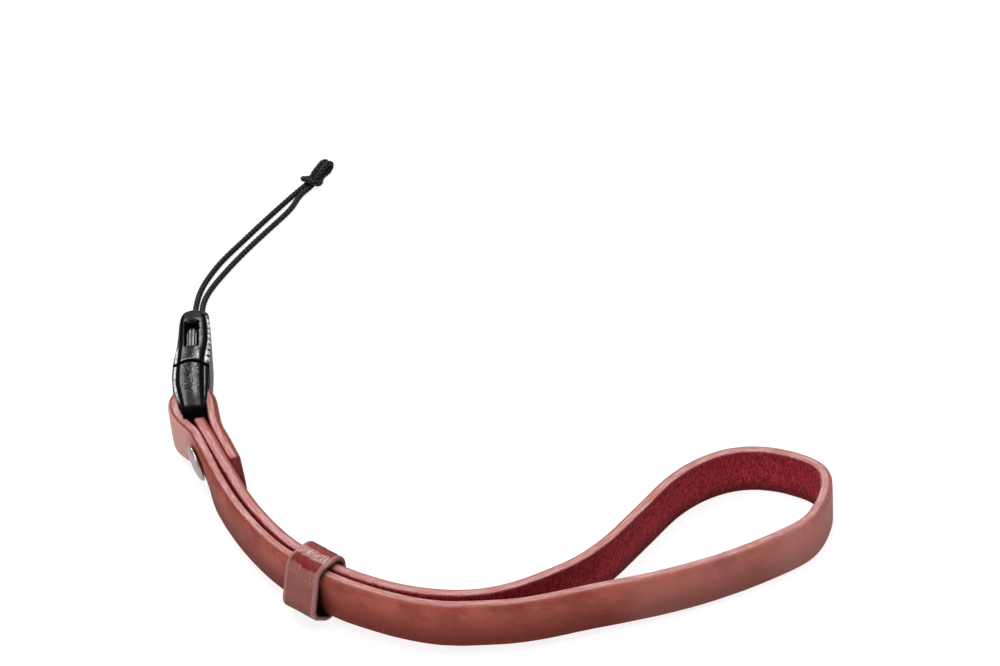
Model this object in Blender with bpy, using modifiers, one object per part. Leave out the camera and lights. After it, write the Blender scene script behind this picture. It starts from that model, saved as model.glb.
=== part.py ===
"""Camera wrist strap: one long leather strip, riveted round the bar of a small quick-release clip,
with a sliding leather keeper and a thin braided cord loop that ends in a lark's-head hitch.
The strap lies on its lower edges. X runs along the wrist loop, Y towards the cord, +Z is up."""

import math

import bmesh
import bpy
import numpy as np
from mathutils import Matrix, Vector

MM = 0.001

# Leather strip, in millimetres like every size below
STRAP_WIDTH = 10.0
STRAP_THICKNESS = 2.3
STRAP_EDGE_RADIUS = 0.8
LAYER_GAP = 0.45
PRESSED_GAP = 0.1
EDGE_LIFT = 1.8

# Lead: the two layers side by side, from the clip's bar to the fork where the wrist loop opens
FORK = (-27.1, -37.7)
LEAD_ACROSS = 34.0
LEAD_BACK = 58.0

# Wrist loop, measured inside
LOOP_LENGTH = 89.0
LOOP_WIDTH = 36.8

# Fold round the bar, with its riveted tab
BAR_DIAMETER = 3.4
BAR_CLEARANCE = 0.7
BAR_ASIDE = 0.55
FOLD_NARROWS = 10.5
FOLD_BULGE = 0.86
RIVET_AT = 13.0
TAB_TAIL = 7.9
STRIP_END_AT = 5.3
LEAN_DEGREES = 7.5
LEAN_FADES = 12.5

# Rivet
RIVET_CAP_DIAMETER = 7.6
RIVET_CAP_HEIGHT = 1.15
RIVET_BACK_DIAMETER = 5.4
RIVET_BACK_HEIGHT = 0.35
RIVET_POST_DIAMETER = 2.6
RIVET_STEPS = 28

# Sliding keeper
KEEPER_AT = 10.55
KEEPER_LENGTH = 8.0
KEEPER_WALL = 1.2
KEEPER_SIDE_PLAY = 0.15
KEEPER_FOOT_WALL = 1.0
KEEPER_CROWN = 0.45
KEEPER_SPLAY = 2.2
KEEPER_RISE = 2.5
KEEPER_CORNER = 1.6
KEEPER_TOP_IN = 0.4
KEEPER_FOOT_IN = 0.8

# Quick-release clip, seen on its narrow side. Its broad sides stand out below the narrow ones
RAIL_WALL = 1.5
CLIP_THICKNESS = 5.6
CLIP_LEAN_DEGREES = 4.0
SIDE_LEDGE = 0.7
SIDE_EDGE_RADIUS = 0.4
RAIL_TAIL = 6.2
PLUG_BODY = 4.2
CLIP_SEAM = 0.5
SOCKET_LENGTH = 17.65
CLIP_EDGE_RADIUS = 0.7
WINDOW_LENGTH = 8.4
WINDOW_FROM_END = 4.05
WINDOW_WIDTH = 2.9
WINDOW_ASIDE = -0.5
ARM_HEIGHT = 2.3
ARM_RECESS = 0.5
ARM_TIP_GAP = 0.6
ARM_ROOT = 1.0
ARM_STEP = 0.1

# Cord loop
CORD_DIAMETER = 1.2
CORD_HOLE_DIAMETER = 1.9
CORD_HOLE_DEPTH = 4.0
CORD_HOLE_APART = 2.6

# Clearance between pieces that touch, and under the rivet's domed cap, where the leather bends
SEAT_GAP = 0.3
CAP_GAP = 0.45

# The seam between the two layers, from the fork back to the bar
LEAD_ROWS = (
    # share of LEAD_ACROSS, share of LEAD_BACK
    (0.000, 0.000),
    (0.129, 0.053),
    (0.256, 0.119),
    (0.382, 0.190),
    (0.497, 0.281),
    (0.606, 0.390),
    (0.688, 0.491),
    (0.750, 0.584),
    (0.809, 0.679),
    (0.876, 0.791),
    (0.944, 0.902),
    (1.000, 0.995),
)

# The inside of the wrist loop, from the fork along the near branch and back along the far one
LOOP_ROWS = (
    # share of LOOP_LENGTH, share of LOOP_WIDTH
    (0.083, -0.118),
    (0.165, -0.190),
    (0.248, -0.213),
    (0.333, -0.212),
    (0.460, -0.158),
    (0.587, -0.102),
    (0.702, -0.033),
    (0.804, 0.055),
    (0.894, 0.156),
    (0.951, 0.245),
    (0.982, 0.361),
    (0.999, 0.489),
    (0.996, 0.592),
    (0.958, 0.686),
    (0.898, 0.757),
    (0.828, 0.774),
    (0.756, 0.715),
    (0.696, 0.609),
    (0.642, 0.459),
    (0.584, 0.288),
    (0.528, 0.136),
    (0.465, 0.014),
    (0.378, -0.095),
    (0.292, -0.166),
    (0.208, -0.177),
    (0.125, -0.136),
)

# How far the clip's two pieces reach to either side, along their length from the seam between them
PLUG_ROWS = (
    # share of the plug's length, then left and right as shares of half CLIP_THICKNESS
    (0.00, 1.22, 0.71),
    (0.12, 1.24, 0.71),
    (0.30, 1.25, 0.73),
    (0.55, 1.09, 0.77),
    (0.80, 0.84, 0.80),
    (0.94, 0.60, 0.73),
    (1.00, 0.25, 0.50),
)
SOCKET_ROWS = (
    # share of SOCKET_LENGTH, then left and right as shares of half CLIP_THICKNESS
    (0.00, 1.20, 0.71),
    (0.20, 1.14, 0.82),
    (0.35, 1.08, 0.94),
    (0.65, 1.05, 0.94),
    (0.85, 0.99, 0.80),
    (0.96, 0.73, 0.50),
    (1.00, 0.42, 0.18),
)

# The same for their broad sides
PLUG_SIDE_ROWS = (
    # share of the plug's length, then left and right as shares of half CLIP_THICKNESS
    (0.01, 1.52, 1.13),
    (0.20, 1.55, 1.11),
    (0.35, 1.45, 1.09),
    (0.52, 1.32, 1.02),
    (0.70, 1.00, 0.92),
    (0.80, 0.70, 0.72),
)
SOCKET_SIDE_ROWS = (
    # share of SOCKET_LENGTH, then left and right as shares of half CLIP_THICKNESS
    (0.01, 1.52, 1.14),
    (0.20, 1.39, 1.18),
    (0.35, 1.27, 1.21),
    (0.65, 1.15, 1.21),
    (0.85, 1.05, 1.10),
    (0.95, 0.80, 0.96),
    (0.98, 0.60, 0.80),
)

# The hitch lies at HITCH and points along HITCH_WAY. Half of it, from the strand to the middle of the collar
HITCH = (-35.7, 105.4)
HITCH_WAY = (0.62, 0.785)
HITCH_HALF = (
    # along, aside, up
    (-4.0, 0.66, 0.64),
    (-1.6, 0.63, 0.62),
    (0.0, 0.61, 0.64),
    (1.4, 0.61, 1.15),
    (2.9, 0.61, 1.95),
    (4.6, 0.61, 2.45),
    (6.2, 0.61, 2.60),
    (7.3, 0.61, 1.65),
    (6.2, 0.61, 0.66),
    (4.6, 0.62, 0.62),
    (3.1, 0.86, 0.62),
    (2.0, 1.47, 0.62),
    (1.0, 1.83, 0.92),
    (0.1, 1.72, 1.55),
    (-0.3, 1.05, 1.96),
    (-0.3, 0.0, 2.02),
)

# The strands between the clip and the hitch, on the surface
UPPER_STRAND = (
    # x, y, z
    (-60.5, 62.4, 1.2),
    (-60.3, 65.9, 0.62),
    (-59.4, 70.5, 0.62),
    (-57.6, 75.2, 0.62),
    (-55.0, 80.1, 0.62),
    (-51.1, 85.8, 0.62),
    (-46.7, 92.0, 0.62),
    (-42.3, 98.0, 0.62),
)
LOWER_STRAND = (
    # x, y, z
    (-59.2, 60.4, 1.0),
    (-59.0, 64.6, 0.62),
    (-57.7, 69.6, 0.62),
    (-55.1, 74.7, 0.62),
    (-51.1, 81.2, 0.62),
    (-46.8, 87.4, 0.62),
    (-42.6, 93.1, 0.62),
    (-39.4, 98.1, 0.62),
)

# Each strand's way out of the clip and down to the surface
UPPER_EXIT = (
    # aside from the bar, past the clip's end, height above the clip's middle
    (0.0, -2.8, 1.3),
    (0.0, 1.0, 1.3),
    (-0.3, 5.0, -0.1),
    (-0.7, 9.5, -2.6),
)
LOWER_EXIT = (
    # aside from the bar, past the clip's end, height above the clip's middle
    (0.0, -2.8, -1.3),
    (0.0, 1.0, -1.3),
    (0.1, 5.0, -2.3),
    (0.2, 9.5, -4.0),
)

# How finely the curves are drawn
FINE_STEP = 0.25
OUTLINE_STEP = 0.8
STRAP_STEP = 2.6
STRAP_TURN = 9
CORD_FINE_STEP = 0.1
CORD_STEP = 3.6
CORD_TURN = 24
ROUTE_TAB_ROWS = 9
ROUTE_ARC_DEGREES = (26, 52, 78, 104, 130, 154)
ROUTE_JOIN = 2.0
ROUTE_EVERY = 8

# Sizes that follow from those above
LAYER_PITCH = STRAP_THICKNESS + PRESSED_GAP
FOLD_RADIUS = BAR_DIAMETER / 2 + BAR_CLEARANCE + STRAP_THICKNESS / 2
BAR_OFFSET = LAYER_PITCH / 2 + BAR_ASIDE
CLIP_WIDTH = STRAP_WIDTH + 2 * (SEAT_GAP + RAIL_WALL)
CLIP_SLANT = math.tan(math.radians(CLIP_LEAN_DEGREES))
CLIP_MIDDLE_Z = EDGE_LIFT + STRAP_WIDTH / 2
PLUG_START = FOLD_RADIUS + STRAP_THICKNESS / 2 + SEAT_GAP
SOCKET_START = PLUG_START + PLUG_BODY + CLIP_SEAM
SOCKET_END = SOCKET_START + SOCKET_LENGTH

COLOURS = {
    # name: colour, roughness, metallic
    "strap_leather": ((0.34, 0.12, 0.10), 0.55, 0.0),
    "keeper_leather": ((0.33, 0.14, 0.13), 0.5, 0.0),
    "rivet_metal": ((0.42, 0.38, 0.38), 0.3, 1.0),
    "clip_plastic": ((0.02, 0.02, 0.022), 0.4, 0.0),
    "cord_braid": ((0.02, 0.02, 0.02), 0.85, 0.0),
}


def clear_scene():
    for thing in list(bpy.data.objects):
        bpy.data.objects.remove(thing, do_unlink=True)


def new_collection(name):
    made = bpy.data.collections.new(name)
    bpy.context.scene.collection.children.link(made)
    return made


def finish_of(name):
    if name in bpy.data.materials:
        return bpy.data.materials[name]
    colour, roughness, metallic = COLOURS[name]
    made = bpy.data.materials.new(name)
    made.use_nodes = True
    shader = made.node_tree.nodes["Principled BSDF"]
    shader.inputs["Base Color"].default_value = (*colour, 1.0)
    shader.inputs["Roughness"].default_value = roughness
    shader.inputs["Metallic"].default_value = metallic
    return made


def rows_smoothed(rows, step):
    """Points about a step apart on the natural cubic curve through the rows."""
    rows = np.array(rows, float)
    knots = np.concatenate([[0], np.cumsum(np.linalg.norm(np.diff(rows, axis=0), axis=1))])
    gaps = np.diff(knots)
    count = len(rows)
    system = np.eye(count)
    right = np.zeros_like(rows)
    for i in range(1, count - 1):
        system[i, i - 1 : i + 2] = gaps[i - 1], 2 * (gaps[i - 1] + gaps[i]), gaps[i]
        right[i] = 6 * ((rows[i + 1] - rows[i]) / gaps[i] - (rows[i] - rows[i - 1]) / gaps[i - 1])
    bends = np.linalg.solve(system, right)
    places = np.linspace(0, knots[-1], max(2, round(knots[-1] / step) + 1))
    span = np.clip(np.searchsorted(knots, places, side="right") - 1, 0, count - 2)
    after = ((places - knots[span]) / gaps[span])[:, None]
    before = 1 - after
    width = gaps[span][:, None] ** 2 / 6
    curve = before * rows[span] + after * rows[span + 1]
    curve += width * ((before**3 - before) * bends[span] + (after**3 - after) * bends[span + 1])
    return curve


def tangents(points):
    ways = np.gradient(points, axis=0)
    return ways / np.linalg.norm(ways, axis=1)[:, None]


def right_of(ways):
    """The level direction on the right-hand side of each way of travel."""
    return np.stack([ways[:, 1], -ways[:, 0]], 1)


def run_lengths(points):
    return np.concatenate([[0], np.cumsum(np.linalg.norm(np.diff(points, axis=0), axis=1))])


def thinned(points, longest, most_turn):
    """Keeps a point wherever the line has run the longest step or turned by the most angle."""
    ways = tangents(points)
    kept = [0]
    run = run_lengths(points)
    for i in range(1, len(points) - 1):
        turned = math.acos(float(np.clip(ways[i] @ ways[kept[-1]], -1, 1)))
        if run[i] - run[kept[-1]] >= longest or turned >= most_turn:
            kept.append(i)
    return points[[*kept, len(points) - 1]]


def eased(share):
    share = np.clip(share, 0, 1)
    return share * share * (3 - 2 * share)


def seam_rows():
    """The rows of the seam from the bar to the fork, in plan."""
    return np.array([(FORK[0] - a * LEAD_ACROSS, FORK[1] + b * LEAD_BACK) for a, b in reversed(LEAD_ROWS)])


def seam_at(reach, aside=0.0):
    """The seam's place and the level way to its left, reach millimetres from the bar and aside to the left."""
    line = rows_smoothed(seam_rows(), FINE_STEP)
    i = int(np.searchsorted(run_lengths(line), reach))
    left = -right_of(tangents(line))[i]
    return line[i] + left * aside, left


def freed(reach):
    """0 as far as the rivet, and 1 from where the layers lie loosely beside each other."""
    return eased((reach - RIVET_AT) / LEAN_FADES)


def lean_at(reach):
    """The layers' lean in radians, most at the rivet. Their lower edges go to the left."""
    return math.radians(LEAN_DEGREES) * eased(reach / RIVET_AT) * (1 - freed(reach))


def lean_shift(reach):
    """How far a leaning layer's middle moves to the left while its top edge stays in place."""
    return STRAP_WIDTH / 2 * np.sin(lean_at(reach))


def inner_line():
    """The leather's inner face all the way: down the near layer, round the loop and up the far layer."""
    seam = seam_rows()
    gap = PRESSED_GAP + (LAYER_GAP - PRESSED_GAP) * freed(run_lengths(seam))
    sides = right_of(tangents(seam)) * gap[:, None] / 2
    loop = [(FORK[0] + a * LOOP_LENGTH, FORK[1] + b * LOOP_WIDTH) for a, b in LOOP_ROWS]
    return rows_smoothed([*(seam + sides), *loop, *(seam - sides)[::-1]], FINE_STEP)


def near_layer_out(reach):
    """How much farther out the near layer lies on its way round the bar, and where it bows."""
    wide = FOLD_RADIUS - BAR_OFFSET - LAYER_PITCH / 2
    share = np.clip(reach / FOLD_NARROWS, 0, 1)
    bow = FOLD_BULGE * 6.75 * share * (1 - share) ** 2
    return wide * (1 - eased(reach / FOLD_NARROWS)) + bow


def edge_height(x):
    """Height of the leather's lower edge: lifted by the clip, and down on the surface at the loop's end."""
    return EDGE_LIFT * (1 - eased((x - FORK[0]) / LOOP_LENGTH))


def strip_route():
    """The strip's centre line from the tab's cut end to the far layer's: x, y and its lean, each way of travel."""
    inner = inner_line()
    run = run_lengths(inner)
    left_to_run = run[-1] - run
    outward = STRAP_THICKNESS / 2 + near_layer_out(run) - lean_shift(run) + lean_shift(left_to_run)
    strip = inner + right_of(tangents(inner)) * outward[:, None]
    strip = np.column_stack([strip, lean_at(run) - lean_at(left_to_run)])[left_to_run >= STRIP_END_AT]
    tab = []
    for reach in np.linspace(RIVET_AT + TAB_TAIL, 0, ROUTE_TAB_ROWS):
        side = 1.5 * LAYER_PITCH + (BAR_OFFSET + FOLD_RADIUS - 1.5 * LAYER_PITCH) * (1 - eased(reach / FOLD_NARROWS))
        tab.append((*seam_at(reach, side + lean_shift(reach))[0], -lean_at(reach)))
    centre, left = seam_at(0.0, BAR_OFFSET)
    back = right_of(left[None])[0]
    turns = np.radians(ROUTE_ARC_DEGREES)
    arc = [(*(centre + FOLD_RADIUS * (math.cos(a) * left - math.sin(a) * back)), 0.0) for a in turns]
    after = strip[run_lengths(strip[:, :2]) > ROUTE_JOIN]
    return rows_smoothed([*tab, *arc, *after[::ROUTE_EVERY], strip[-1]], FINE_STEP)


def curve_object(name, points, cyclic=False, flat=False):
    data = bpy.data.curves.new(name, "CURVE")
    data.dimensions = "2D" if flat else "3D"
    add_spline(data, points, cyclic)
    return bpy.data.objects.new(name, data)


def add_spline(data, points, cyclic):
    spline = data.splines.new("POLY")
    spline.points.add(len(points) - 1)
    for place, point in zip(spline.points, points):
        place.co = (*(value * MM for value in point), 1.0)
    spline.use_cyclic_u = cyclic


def made_mesh(thing, collection):
    """Turns a curve object into a mesh object of the same name, with its caps welded."""
    bpy.context.view_layer.update()
    graph = bpy.context.evaluated_depsgraph_get()
    mesh = bpy.data.meshes.new_from_object(thing.evaluated_get(graph))
    work = bmesh.new()
    work.from_mesh(mesh)
    bmesh.ops.remove_doubles(work, verts=work.verts, dist=0.000001)
    bmesh.ops.recalc_face_normals(work, faces=work.faces)
    work.to_mesh(mesh)
    work.free()
    name, place = thing.name, thing.matrix_world.copy()
    bpy.data.objects.remove(thing, do_unlink=True)
    made = bpy.data.objects.new(name, mesh)
    collection.objects.link(made)
    made.matrix_world = place
    return made


def finished(thing, colour, parent=None):
    thing.data.materials.clear()
    thing.data.materials.append(finish_of(colour))
    if thing.type == "MESH":
        thing.data.shade_smooth()
        thing.data.set_sharp_from_angle(angle=math.radians(35))
    if parent is not None:
        thing.parent = parent
    return thing


def boolean(thing, other, operation):
    modifier = thing.modifiers.new(f"{operation.lower()}_{other.name}", "BOOLEAN")
    modifier.operation = operation
    modifier.object = other
    modifier.solver = "EXACT"


def cutter(thing):
    CUTTERS.objects.link(thing)
    thing.hide_render = True
    thing.display_type = "WIRE"
    return thing


def box(name, low, high):
    """A box between two corners."""
    work = bmesh.new()
    bmesh.ops.create_cube(work, size=1.0)
    low, high = Vector(low) * MM, Vector(high) * MM
    bmesh.ops.scale(work, vec=high - low, verts=work.verts)
    bmesh.ops.translate(work, vec=(low + high) / 2, verts=work.verts)
    mesh = bpy.data.meshes.new(name)
    work.to_mesh(mesh)
    work.free()
    return bpy.data.objects.new(name, mesh)


def rod(name, diameter, start, end, sides=24):
    """A plain round bar from one point to another."""
    start, end = Vector(start) * MM, Vector(end) * MM
    along = end - start
    work = bmesh.new()
    bmesh.ops.create_cone(
        work,
        cap_ends=True,
        segments=sides,
        radius1=diameter * MM / 2,
        radius2=diameter * MM / 2,
        depth=along.length,
    )
    turn = Vector((0, 0, 1)).rotation_difference(along).to_matrix().to_4x4()
    bmesh.ops.transform(work, matrix=Matrix.Translation((start + end) / 2) @ turn, verts=work.verts)
    mesh = bpy.data.meshes.new(name)
    work.to_mesh(mesh)
    work.free()
    return bpy.data.objects.new(name, mesh)


def rounded_outline(corners, radius, steps=5):
    """A closed outline with an arc of this radius at each corner. The corners run anticlockwise."""
    outline = []
    count = len(corners)
    for i in range(count):
        before, corner, after = (Vector(corners[(i + j) % count]) for j in (-1, 0, 1))
        back, ahead = (before - corner).normalized(), (after - corner).normalized()
        half = back.angle(ahead) / 2
        centre = corner + (back + ahead).normalized() * (radius / math.sin(half))
        first = corner + back * (radius / math.tan(half)) - centre
        last = corner + ahead * (radius / math.tan(half)) - centre
        for step in range(steps + 1):
            spoke = first.slerp(last, step / steps)
            outline.append(tuple(centre + spoke.normalized() * radius))
    return outline


def strap_profile():
    half, tall = STRAP_THICKNESS / 2, STRAP_WIDTH / 2
    corners = ((-half, -tall), (half, -tall), (half, tall), (-half, tall))
    return rounded_outline(corners, STRAP_EDGE_RADIUS, steps=3)


def make_strap():
    rows = thinned(strip_route(), STRAP_STEP, math.radians(STRAP_TURN))
    middle = edge_height(rows[:, 0]) + STRAP_WIDTH / 2
    route = curve_object("leather_strap", np.column_stack([rows[:, :2], middle]))
    for place, lean in zip(route.data.splines[0].points, rows[:, 2]):
        place.tilt = lean
    profile = curve_object("strap_profile", [(x, y, 0) for x, y in strap_profile()], cyclic=True, flat=True)
    profile.data.fill_mode = "NONE"
    cutter(profile)
    PARTS.objects.link(route)
    route.data.twist_mode = "Z_UP"
    route.data.bevel_mode = "OBJECT"
    route.data.bevel_object = profile
    route.data.use_fill_caps = True
    strap = made_mesh(route, PARTS)
    place, axis = rivet_place()
    ends = [place + axis * reach for reach in (-3 * LAYER_PITCH, 4 * LAYER_PITCH)]
    hole = cutter(rod("rivet_hole", RIVET_POST_DIAMETER + 2 * SEAT_GAP, *ends, sides=20))
    boolean(strap, hole, "DIFFERENCE")
    return finished(strap, "strap_leather")


def rivet_place():
    """The middle of the rivet's axis between the near and far layers, and its way through them."""
    place, left = seam_at(RIVET_AT, float(lean_shift(RIVET_AT)))
    lean = float(lean_at(RIVET_AT))
    axis = Vector((*(left * math.cos(lean)), math.sin(lean)))
    return Vector((*place, CLIP_MIDDLE_Z)), axis


def make_rivet():
    """A domed cap on the near face, the post through the three layers and a flat cap on the tab."""
    near = -(LAYER_PITCH / 2 + STRAP_THICKNESS / 2 + CAP_GAP)
    far = 1.5 * LAYER_PITCH + STRAP_THICKNESS / 2 + SEAT_GAP
    cap, back, post = RIVET_CAP_DIAMETER / 2, RIVET_BACK_DIAMETER / 2, RIVET_POST_DIAMETER / 2
    dome, flat = RIVET_CAP_HEIGHT, RIVET_BACK_HEIGHT
    profile = (
        (0.0, far + flat),
        (0.80 * back, far + flat),
        (0.97 * back, far + 0.6 * flat),
        (back, far),
        (post, far),
        (post, near),
        (cap, near),
        (cap, near - 0.30 * dome),
        (0.94 * cap, near - 0.55 * dome),
        (0.72 * cap, near - 0.82 * dome),
        (0.40 * cap, near - 0.96 * dome),
        (0.0, near - dome),
    )
    mesh = bpy.data.meshes.new("rivet")
    points = [(radius * MM, 0.0, along * MM) for radius, along in profile]
    mesh.from_pydata(points, [(i, i + 1) for i in range(len(points) - 1)], [])
    rivet = bpy.data.objects.new("rivet", mesh)
    PARTS.objects.link(rivet)
    screw = rivet.modifiers.new("turned", "SCREW")
    screw.steps = RIVET_STEPS
    screw.render_steps = RIVET_STEPS
    screw.use_merge_vertices = True
    screw.merge_threshold = 0.000001
    place, axis = rivet_place()
    rivet.location = place * MM
    rivet.rotation_euler = Vector((0, 0, 1)).rotation_difference(axis).to_euler()
    return finished(rivet, "rivet_metal")


def make_keeper():
    """A ring of thinner leather, close over the top and far side and standing off at its near lower corner."""
    side = LAYER_GAP / 2 + STRAP_THICKNESS + SEAT_GAP + KEEPER_SIDE_PLAY
    top = STRAP_WIDTH / 2 + SEAT_GAP
    inner = (
        (-side - KEEPER_SPLAY, -top + KEEPER_RISE),
        (-side + KEEPER_FOOT_IN, -top),
        (side, -top),
        (side, top),
        (-side + KEEPER_TOP_IN, top + KEEPER_CROWN),
    )
    ring = curve_object("strap_keeper", [(*p, 0) for p in rounded_outline(inner, KEEPER_CORNER)], True, True)
    lowest = -top - KEEPER_FOOT_WALL
    corners = [(x, max(y, lowest)) for x, y in grown(inner, KEEPER_WALL)]
    outer = [(*p, 0) for p in rounded_outline(corners, KEEPER_CORNER + KEEPER_WALL)]
    add_spline(ring.data, outer, True)
    ring.data.fill_mode = "BOTH"
    ring.data.extrude = KEEPER_LENGTH * MM / 2
    place, left = seam_at(run_lengths(rows_smoothed(seam_rows(), FINE_STEP))[-1] - KEEPER_AT)
    across, up = Vector((*left, 0)), Vector((0, 0, 1))
    turn = Matrix((across, up, across.cross(up))).transposed()
    ring.matrix_world = Matrix.Translation(Vector((*place, CLIP_MIDDLE_Z)) * MM) @ turn.to_4x4()
    PARTS.objects.link(ring)
    return finished(made_mesh(ring, PARTS), "keeper_leather")


def grown(corners, by):
    """The corners of the outline that lies this far outside an anticlockwise outline."""
    found = []
    count = len(corners)
    for i in range(count):
        before, corner, after = (Vector(corners[(i + j) % count]) for j in (-1, 0, 1))
        back, ahead = (before - corner).normalized(), (after - corner).normalized()
        half = back.angle(ahead) / 2
        found.append(tuple(corner - (back + ahead).normalized() * (by / math.sin(half))))
    return found


def clip_outline(rows, start, length, way):
    """Closed outline of a clip piece in plan, up its right side and back down its left."""
    half = CLIP_THICKNESS / 2
    right = rows_smoothed([(row[2] * half, start + way * row[0] * length) for row in rows], OUTLINE_STEP)
    left = rows_smoothed([(-row[1] * half, start + way * row[0] * length) for row in rows], OUTLINE_STEP)
    return [tuple(point) for point in (*right, *left[::-1])]


def clip_block(name, rows, start, length, way, half_width, edge, collection):
    """A block of a clip piece, rounded along the edges of its narrow sides."""
    outline = [(x, y, 0) for x, y in clip_outline(rows, start, length, way)]
    block = curve_object(name, outline, cyclic=True, flat=True)
    block.data.fill_mode = "BOTH"
    block.data.extrude = (half_width - edge) * MM
    block.data.bevel_depth = edge * MM
    block.data.offset = -edge * MM
    block.data.bevel_resolution = 2
    collection.objects.link(block)
    return made_mesh(block, collection)


def slanted(thing):
    """Slants a piece of the clip sideways with height, so that its narrow sides stay level."""
    thing.data.transform(Matrix.Shear("XY", 4, (CLIP_SLANT, 0)))
    return thing


def clip_body(name, rows, side_rows, start, length, way, hub):
    """A clip piece's whole outer body: its narrow block, joined by the thicker block of its broad sides."""
    body = clip_block(name, rows, start, length, way, CLIP_WIDTH / 2, CLIP_EDGE_RADIUS, PARTS)
    half = CLIP_WIDTH / 2 - SIDE_LEDGE
    sides = clip_block(f"{name}_sides", side_rows, start, length, way, half, SIDE_EDGE_RADIUS, CUTTERS)
    sides.hide_render = True
    sides.display_type = "WIRE"
    sides.parent = hub
    boolean(body, slanted(sides), "UNION")
    return slanted(body)


def arm_shape(name, sign, clearance=0.0):
    """One latch arm, or the channel that clears it, on the upper or lower side of the clip."""
    half_width = WINDOW_WIDTH / 2 - SEAT_GAP + clearance
    outer = CLIP_WIDTH / 2 - RAIL_WALL + SEAT_GAP + clearance
    inner = outer - ARM_HEIGHT - 2 * clearance
    end = SOCKET_END - WINDOW_FROM_END - ARM_TIP_GAP + clearance
    start = SOCKET_START - ARM_ROOT - (0 if clearance else CLIP_SEAM)
    low, high = sorted((sign * inner, sign * outer))
    return box(name, (WINDOW_ASIDE - half_width, start, low), (WINDOW_ASIDE + half_width, end, high))


def arm_pad(name, sign):
    """The press pad of an arm, which stands up in its window."""
    outer = CLIP_WIDTH / 2 - ARM_RECESS
    inner = CLIP_WIDTH / 2 - RAIL_WALL
    end = SOCKET_END - WINDOW_FROM_END - ARM_TIP_GAP - ARM_STEP
    start = SOCKET_END - WINDOW_FROM_END - WINDOW_LENGTH + SEAT_GAP
    half_width = WINDOW_WIDTH / 2 - SEAT_GAP - ARM_STEP
    low, high = sorted((sign * inner, sign * outer))
    return box(name, (WINDOW_ASIDE - half_width, start, low), (WINDOW_ASIDE + half_width, end, high))


def make_plug(hub):
    """The clip's strap half: a bar between two rails, a short body and two latch arms."""
    length = PLUG_START + PLUG_BODY + RAIL_TAIL
    plug = clip_body("clip_plug", PLUG_ROWS, PLUG_SIDE_ROWS, PLUG_START + PLUG_BODY, length, -1, hub)
    rail_inside = STRAP_WIDTH / 2 + SEAT_GAP
    reach = CLIP_THICKNESS
    pocket = box(
        "fold_pocket",
        (-reach, -RAIL_TAIL - reach, -rail_inside),
        (reach, PLUG_START, rail_inside),
    )
    boolean(plug, cutter(pocket), "DIFFERENCE")
    ends = [(0, 0, sign * (rail_inside + RAIL_WALL / 2)) for sign in (-1, 1)]
    joined = [rod("plug_bar", BAR_DIAMETER, *ends)]
    for side, sign in (("upper", 1), ("lower", -1)):
        joined.append(slanted(arm_shape(f"{side}_arm", sign)))
        joined.append(slanted(arm_pad(f"{side}_arm_pad", sign)))
    for piece in joined:
        boolean(plug, cutter(piece), "UNION")
        piece.parent = hub
    pocket.parent = hub
    return finished(plug, "clip_plastic", hub)


def make_socket(hub):
    """The clip's cord half: a block with an arm channel and a window on each narrow side."""
    socket = clip_body("clip_socket", SOCKET_ROWS, SOCKET_SIDE_ROWS, SOCKET_START, SOCKET_LENGTH, 1, hub)
    window_end = SOCKET_END - WINDOW_FROM_END
    cuts = []
    for side, sign in (("upper", 1), ("lower", -1)):
        cuts.append(arm_shape(f"{side}_channel", sign, SEAT_GAP + ARM_STEP))
        low, high = sorted((sign * (CLIP_WIDTH / 2 - RAIL_WALL), sign * CLIP_WIDTH))
        near, far = WINDOW_ASIDE - WINDOW_WIDTH / 2, WINDOW_ASIDE + WINDOW_WIDTH / 2
        cuts.append(box(f"{side}_window", (near, window_end - WINDOW_LENGTH, low), (far, window_end, high)))
        height = sign * CORD_HOLE_APART / 2
        ends = ((0, SOCKET_END - CORD_HOLE_DEPTH, height), (0, SOCKET_END + CORD_HOLE_DEPTH, height))
        cuts.append(rod(f"{side}_cord_hole", CORD_HOLE_DIAMETER, *ends, sides=16))
    for piece in cuts:
        boolean(socket, cutter(slanted(piece)), "DIFFERENCE")
        piece.parent = hub
    return finished(socket, "clip_plastic", hub)


def cord_route():
    """The cord's own points: out of the upper hole, through the hitch and back into the lower hole."""
    bar = seam_at(0.0, BAR_OFFSET)[0]
    mouth = bar[1] + SOCKET_END
    way = np.array(HITCH_WAY) / np.linalg.norm(HITCH_WAY)
    side = right_of(way[None])[0]

    def leaving(rows):
        return [(bar[0] + aside + up * CLIP_SLANT, mouth + past, CLIP_MIDDLE_Z + up) for aside, past, up in rows]

    def hitch(turn):
        return [(*(HITCH + way * along + side * aside * turn), up) for along, aside, up in HITCH_HALF]

    first = [*leaving(UPPER_EXIT), *UPPER_STRAND, *hitch(-1)]
    second = [*leaving(LOWER_EXIT), *LOWER_STRAND, *hitch(1)[:-1]]
    return [*first, *second[::-1]]


def make_cord():
    points = thinned(rows_smoothed(cord_route(), CORD_FINE_STEP), CORD_STEP, math.radians(CORD_TURN))
    cord = curve_object("cord_loop", points)
    cord.data.bevel_depth = CORD_DIAMETER * MM / 2
    cord.data.bevel_resolution = 2
    cord.data.use_fill_caps = True
    PARTS.objects.link(cord)
    return finished(cord, "cord_braid")


clear_scene()
PARTS = new_collection("camera_wrist_strap")
CUTTERS = new_collection("cutters")
make_strap()
make_rivet()
make_keeper()
hub = bpy.data.objects.new("clip_hub", None)
PARTS.objects.link(hub)
hub.location = Vector((*seam_at(0.0, BAR_OFFSET)[0], CLIP_MIDDLE_Z)) * MM
make_plug(hub)
make_socket(hub)
make_cord()
bpy.context.view_layer.update()
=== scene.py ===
"""The looks of the camera wrist strap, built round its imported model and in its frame: X runs along the wrist
loop, Y towards the cord and +Z up. Points and sizes are in millimetres until MM turns them into metres."""

import math

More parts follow.
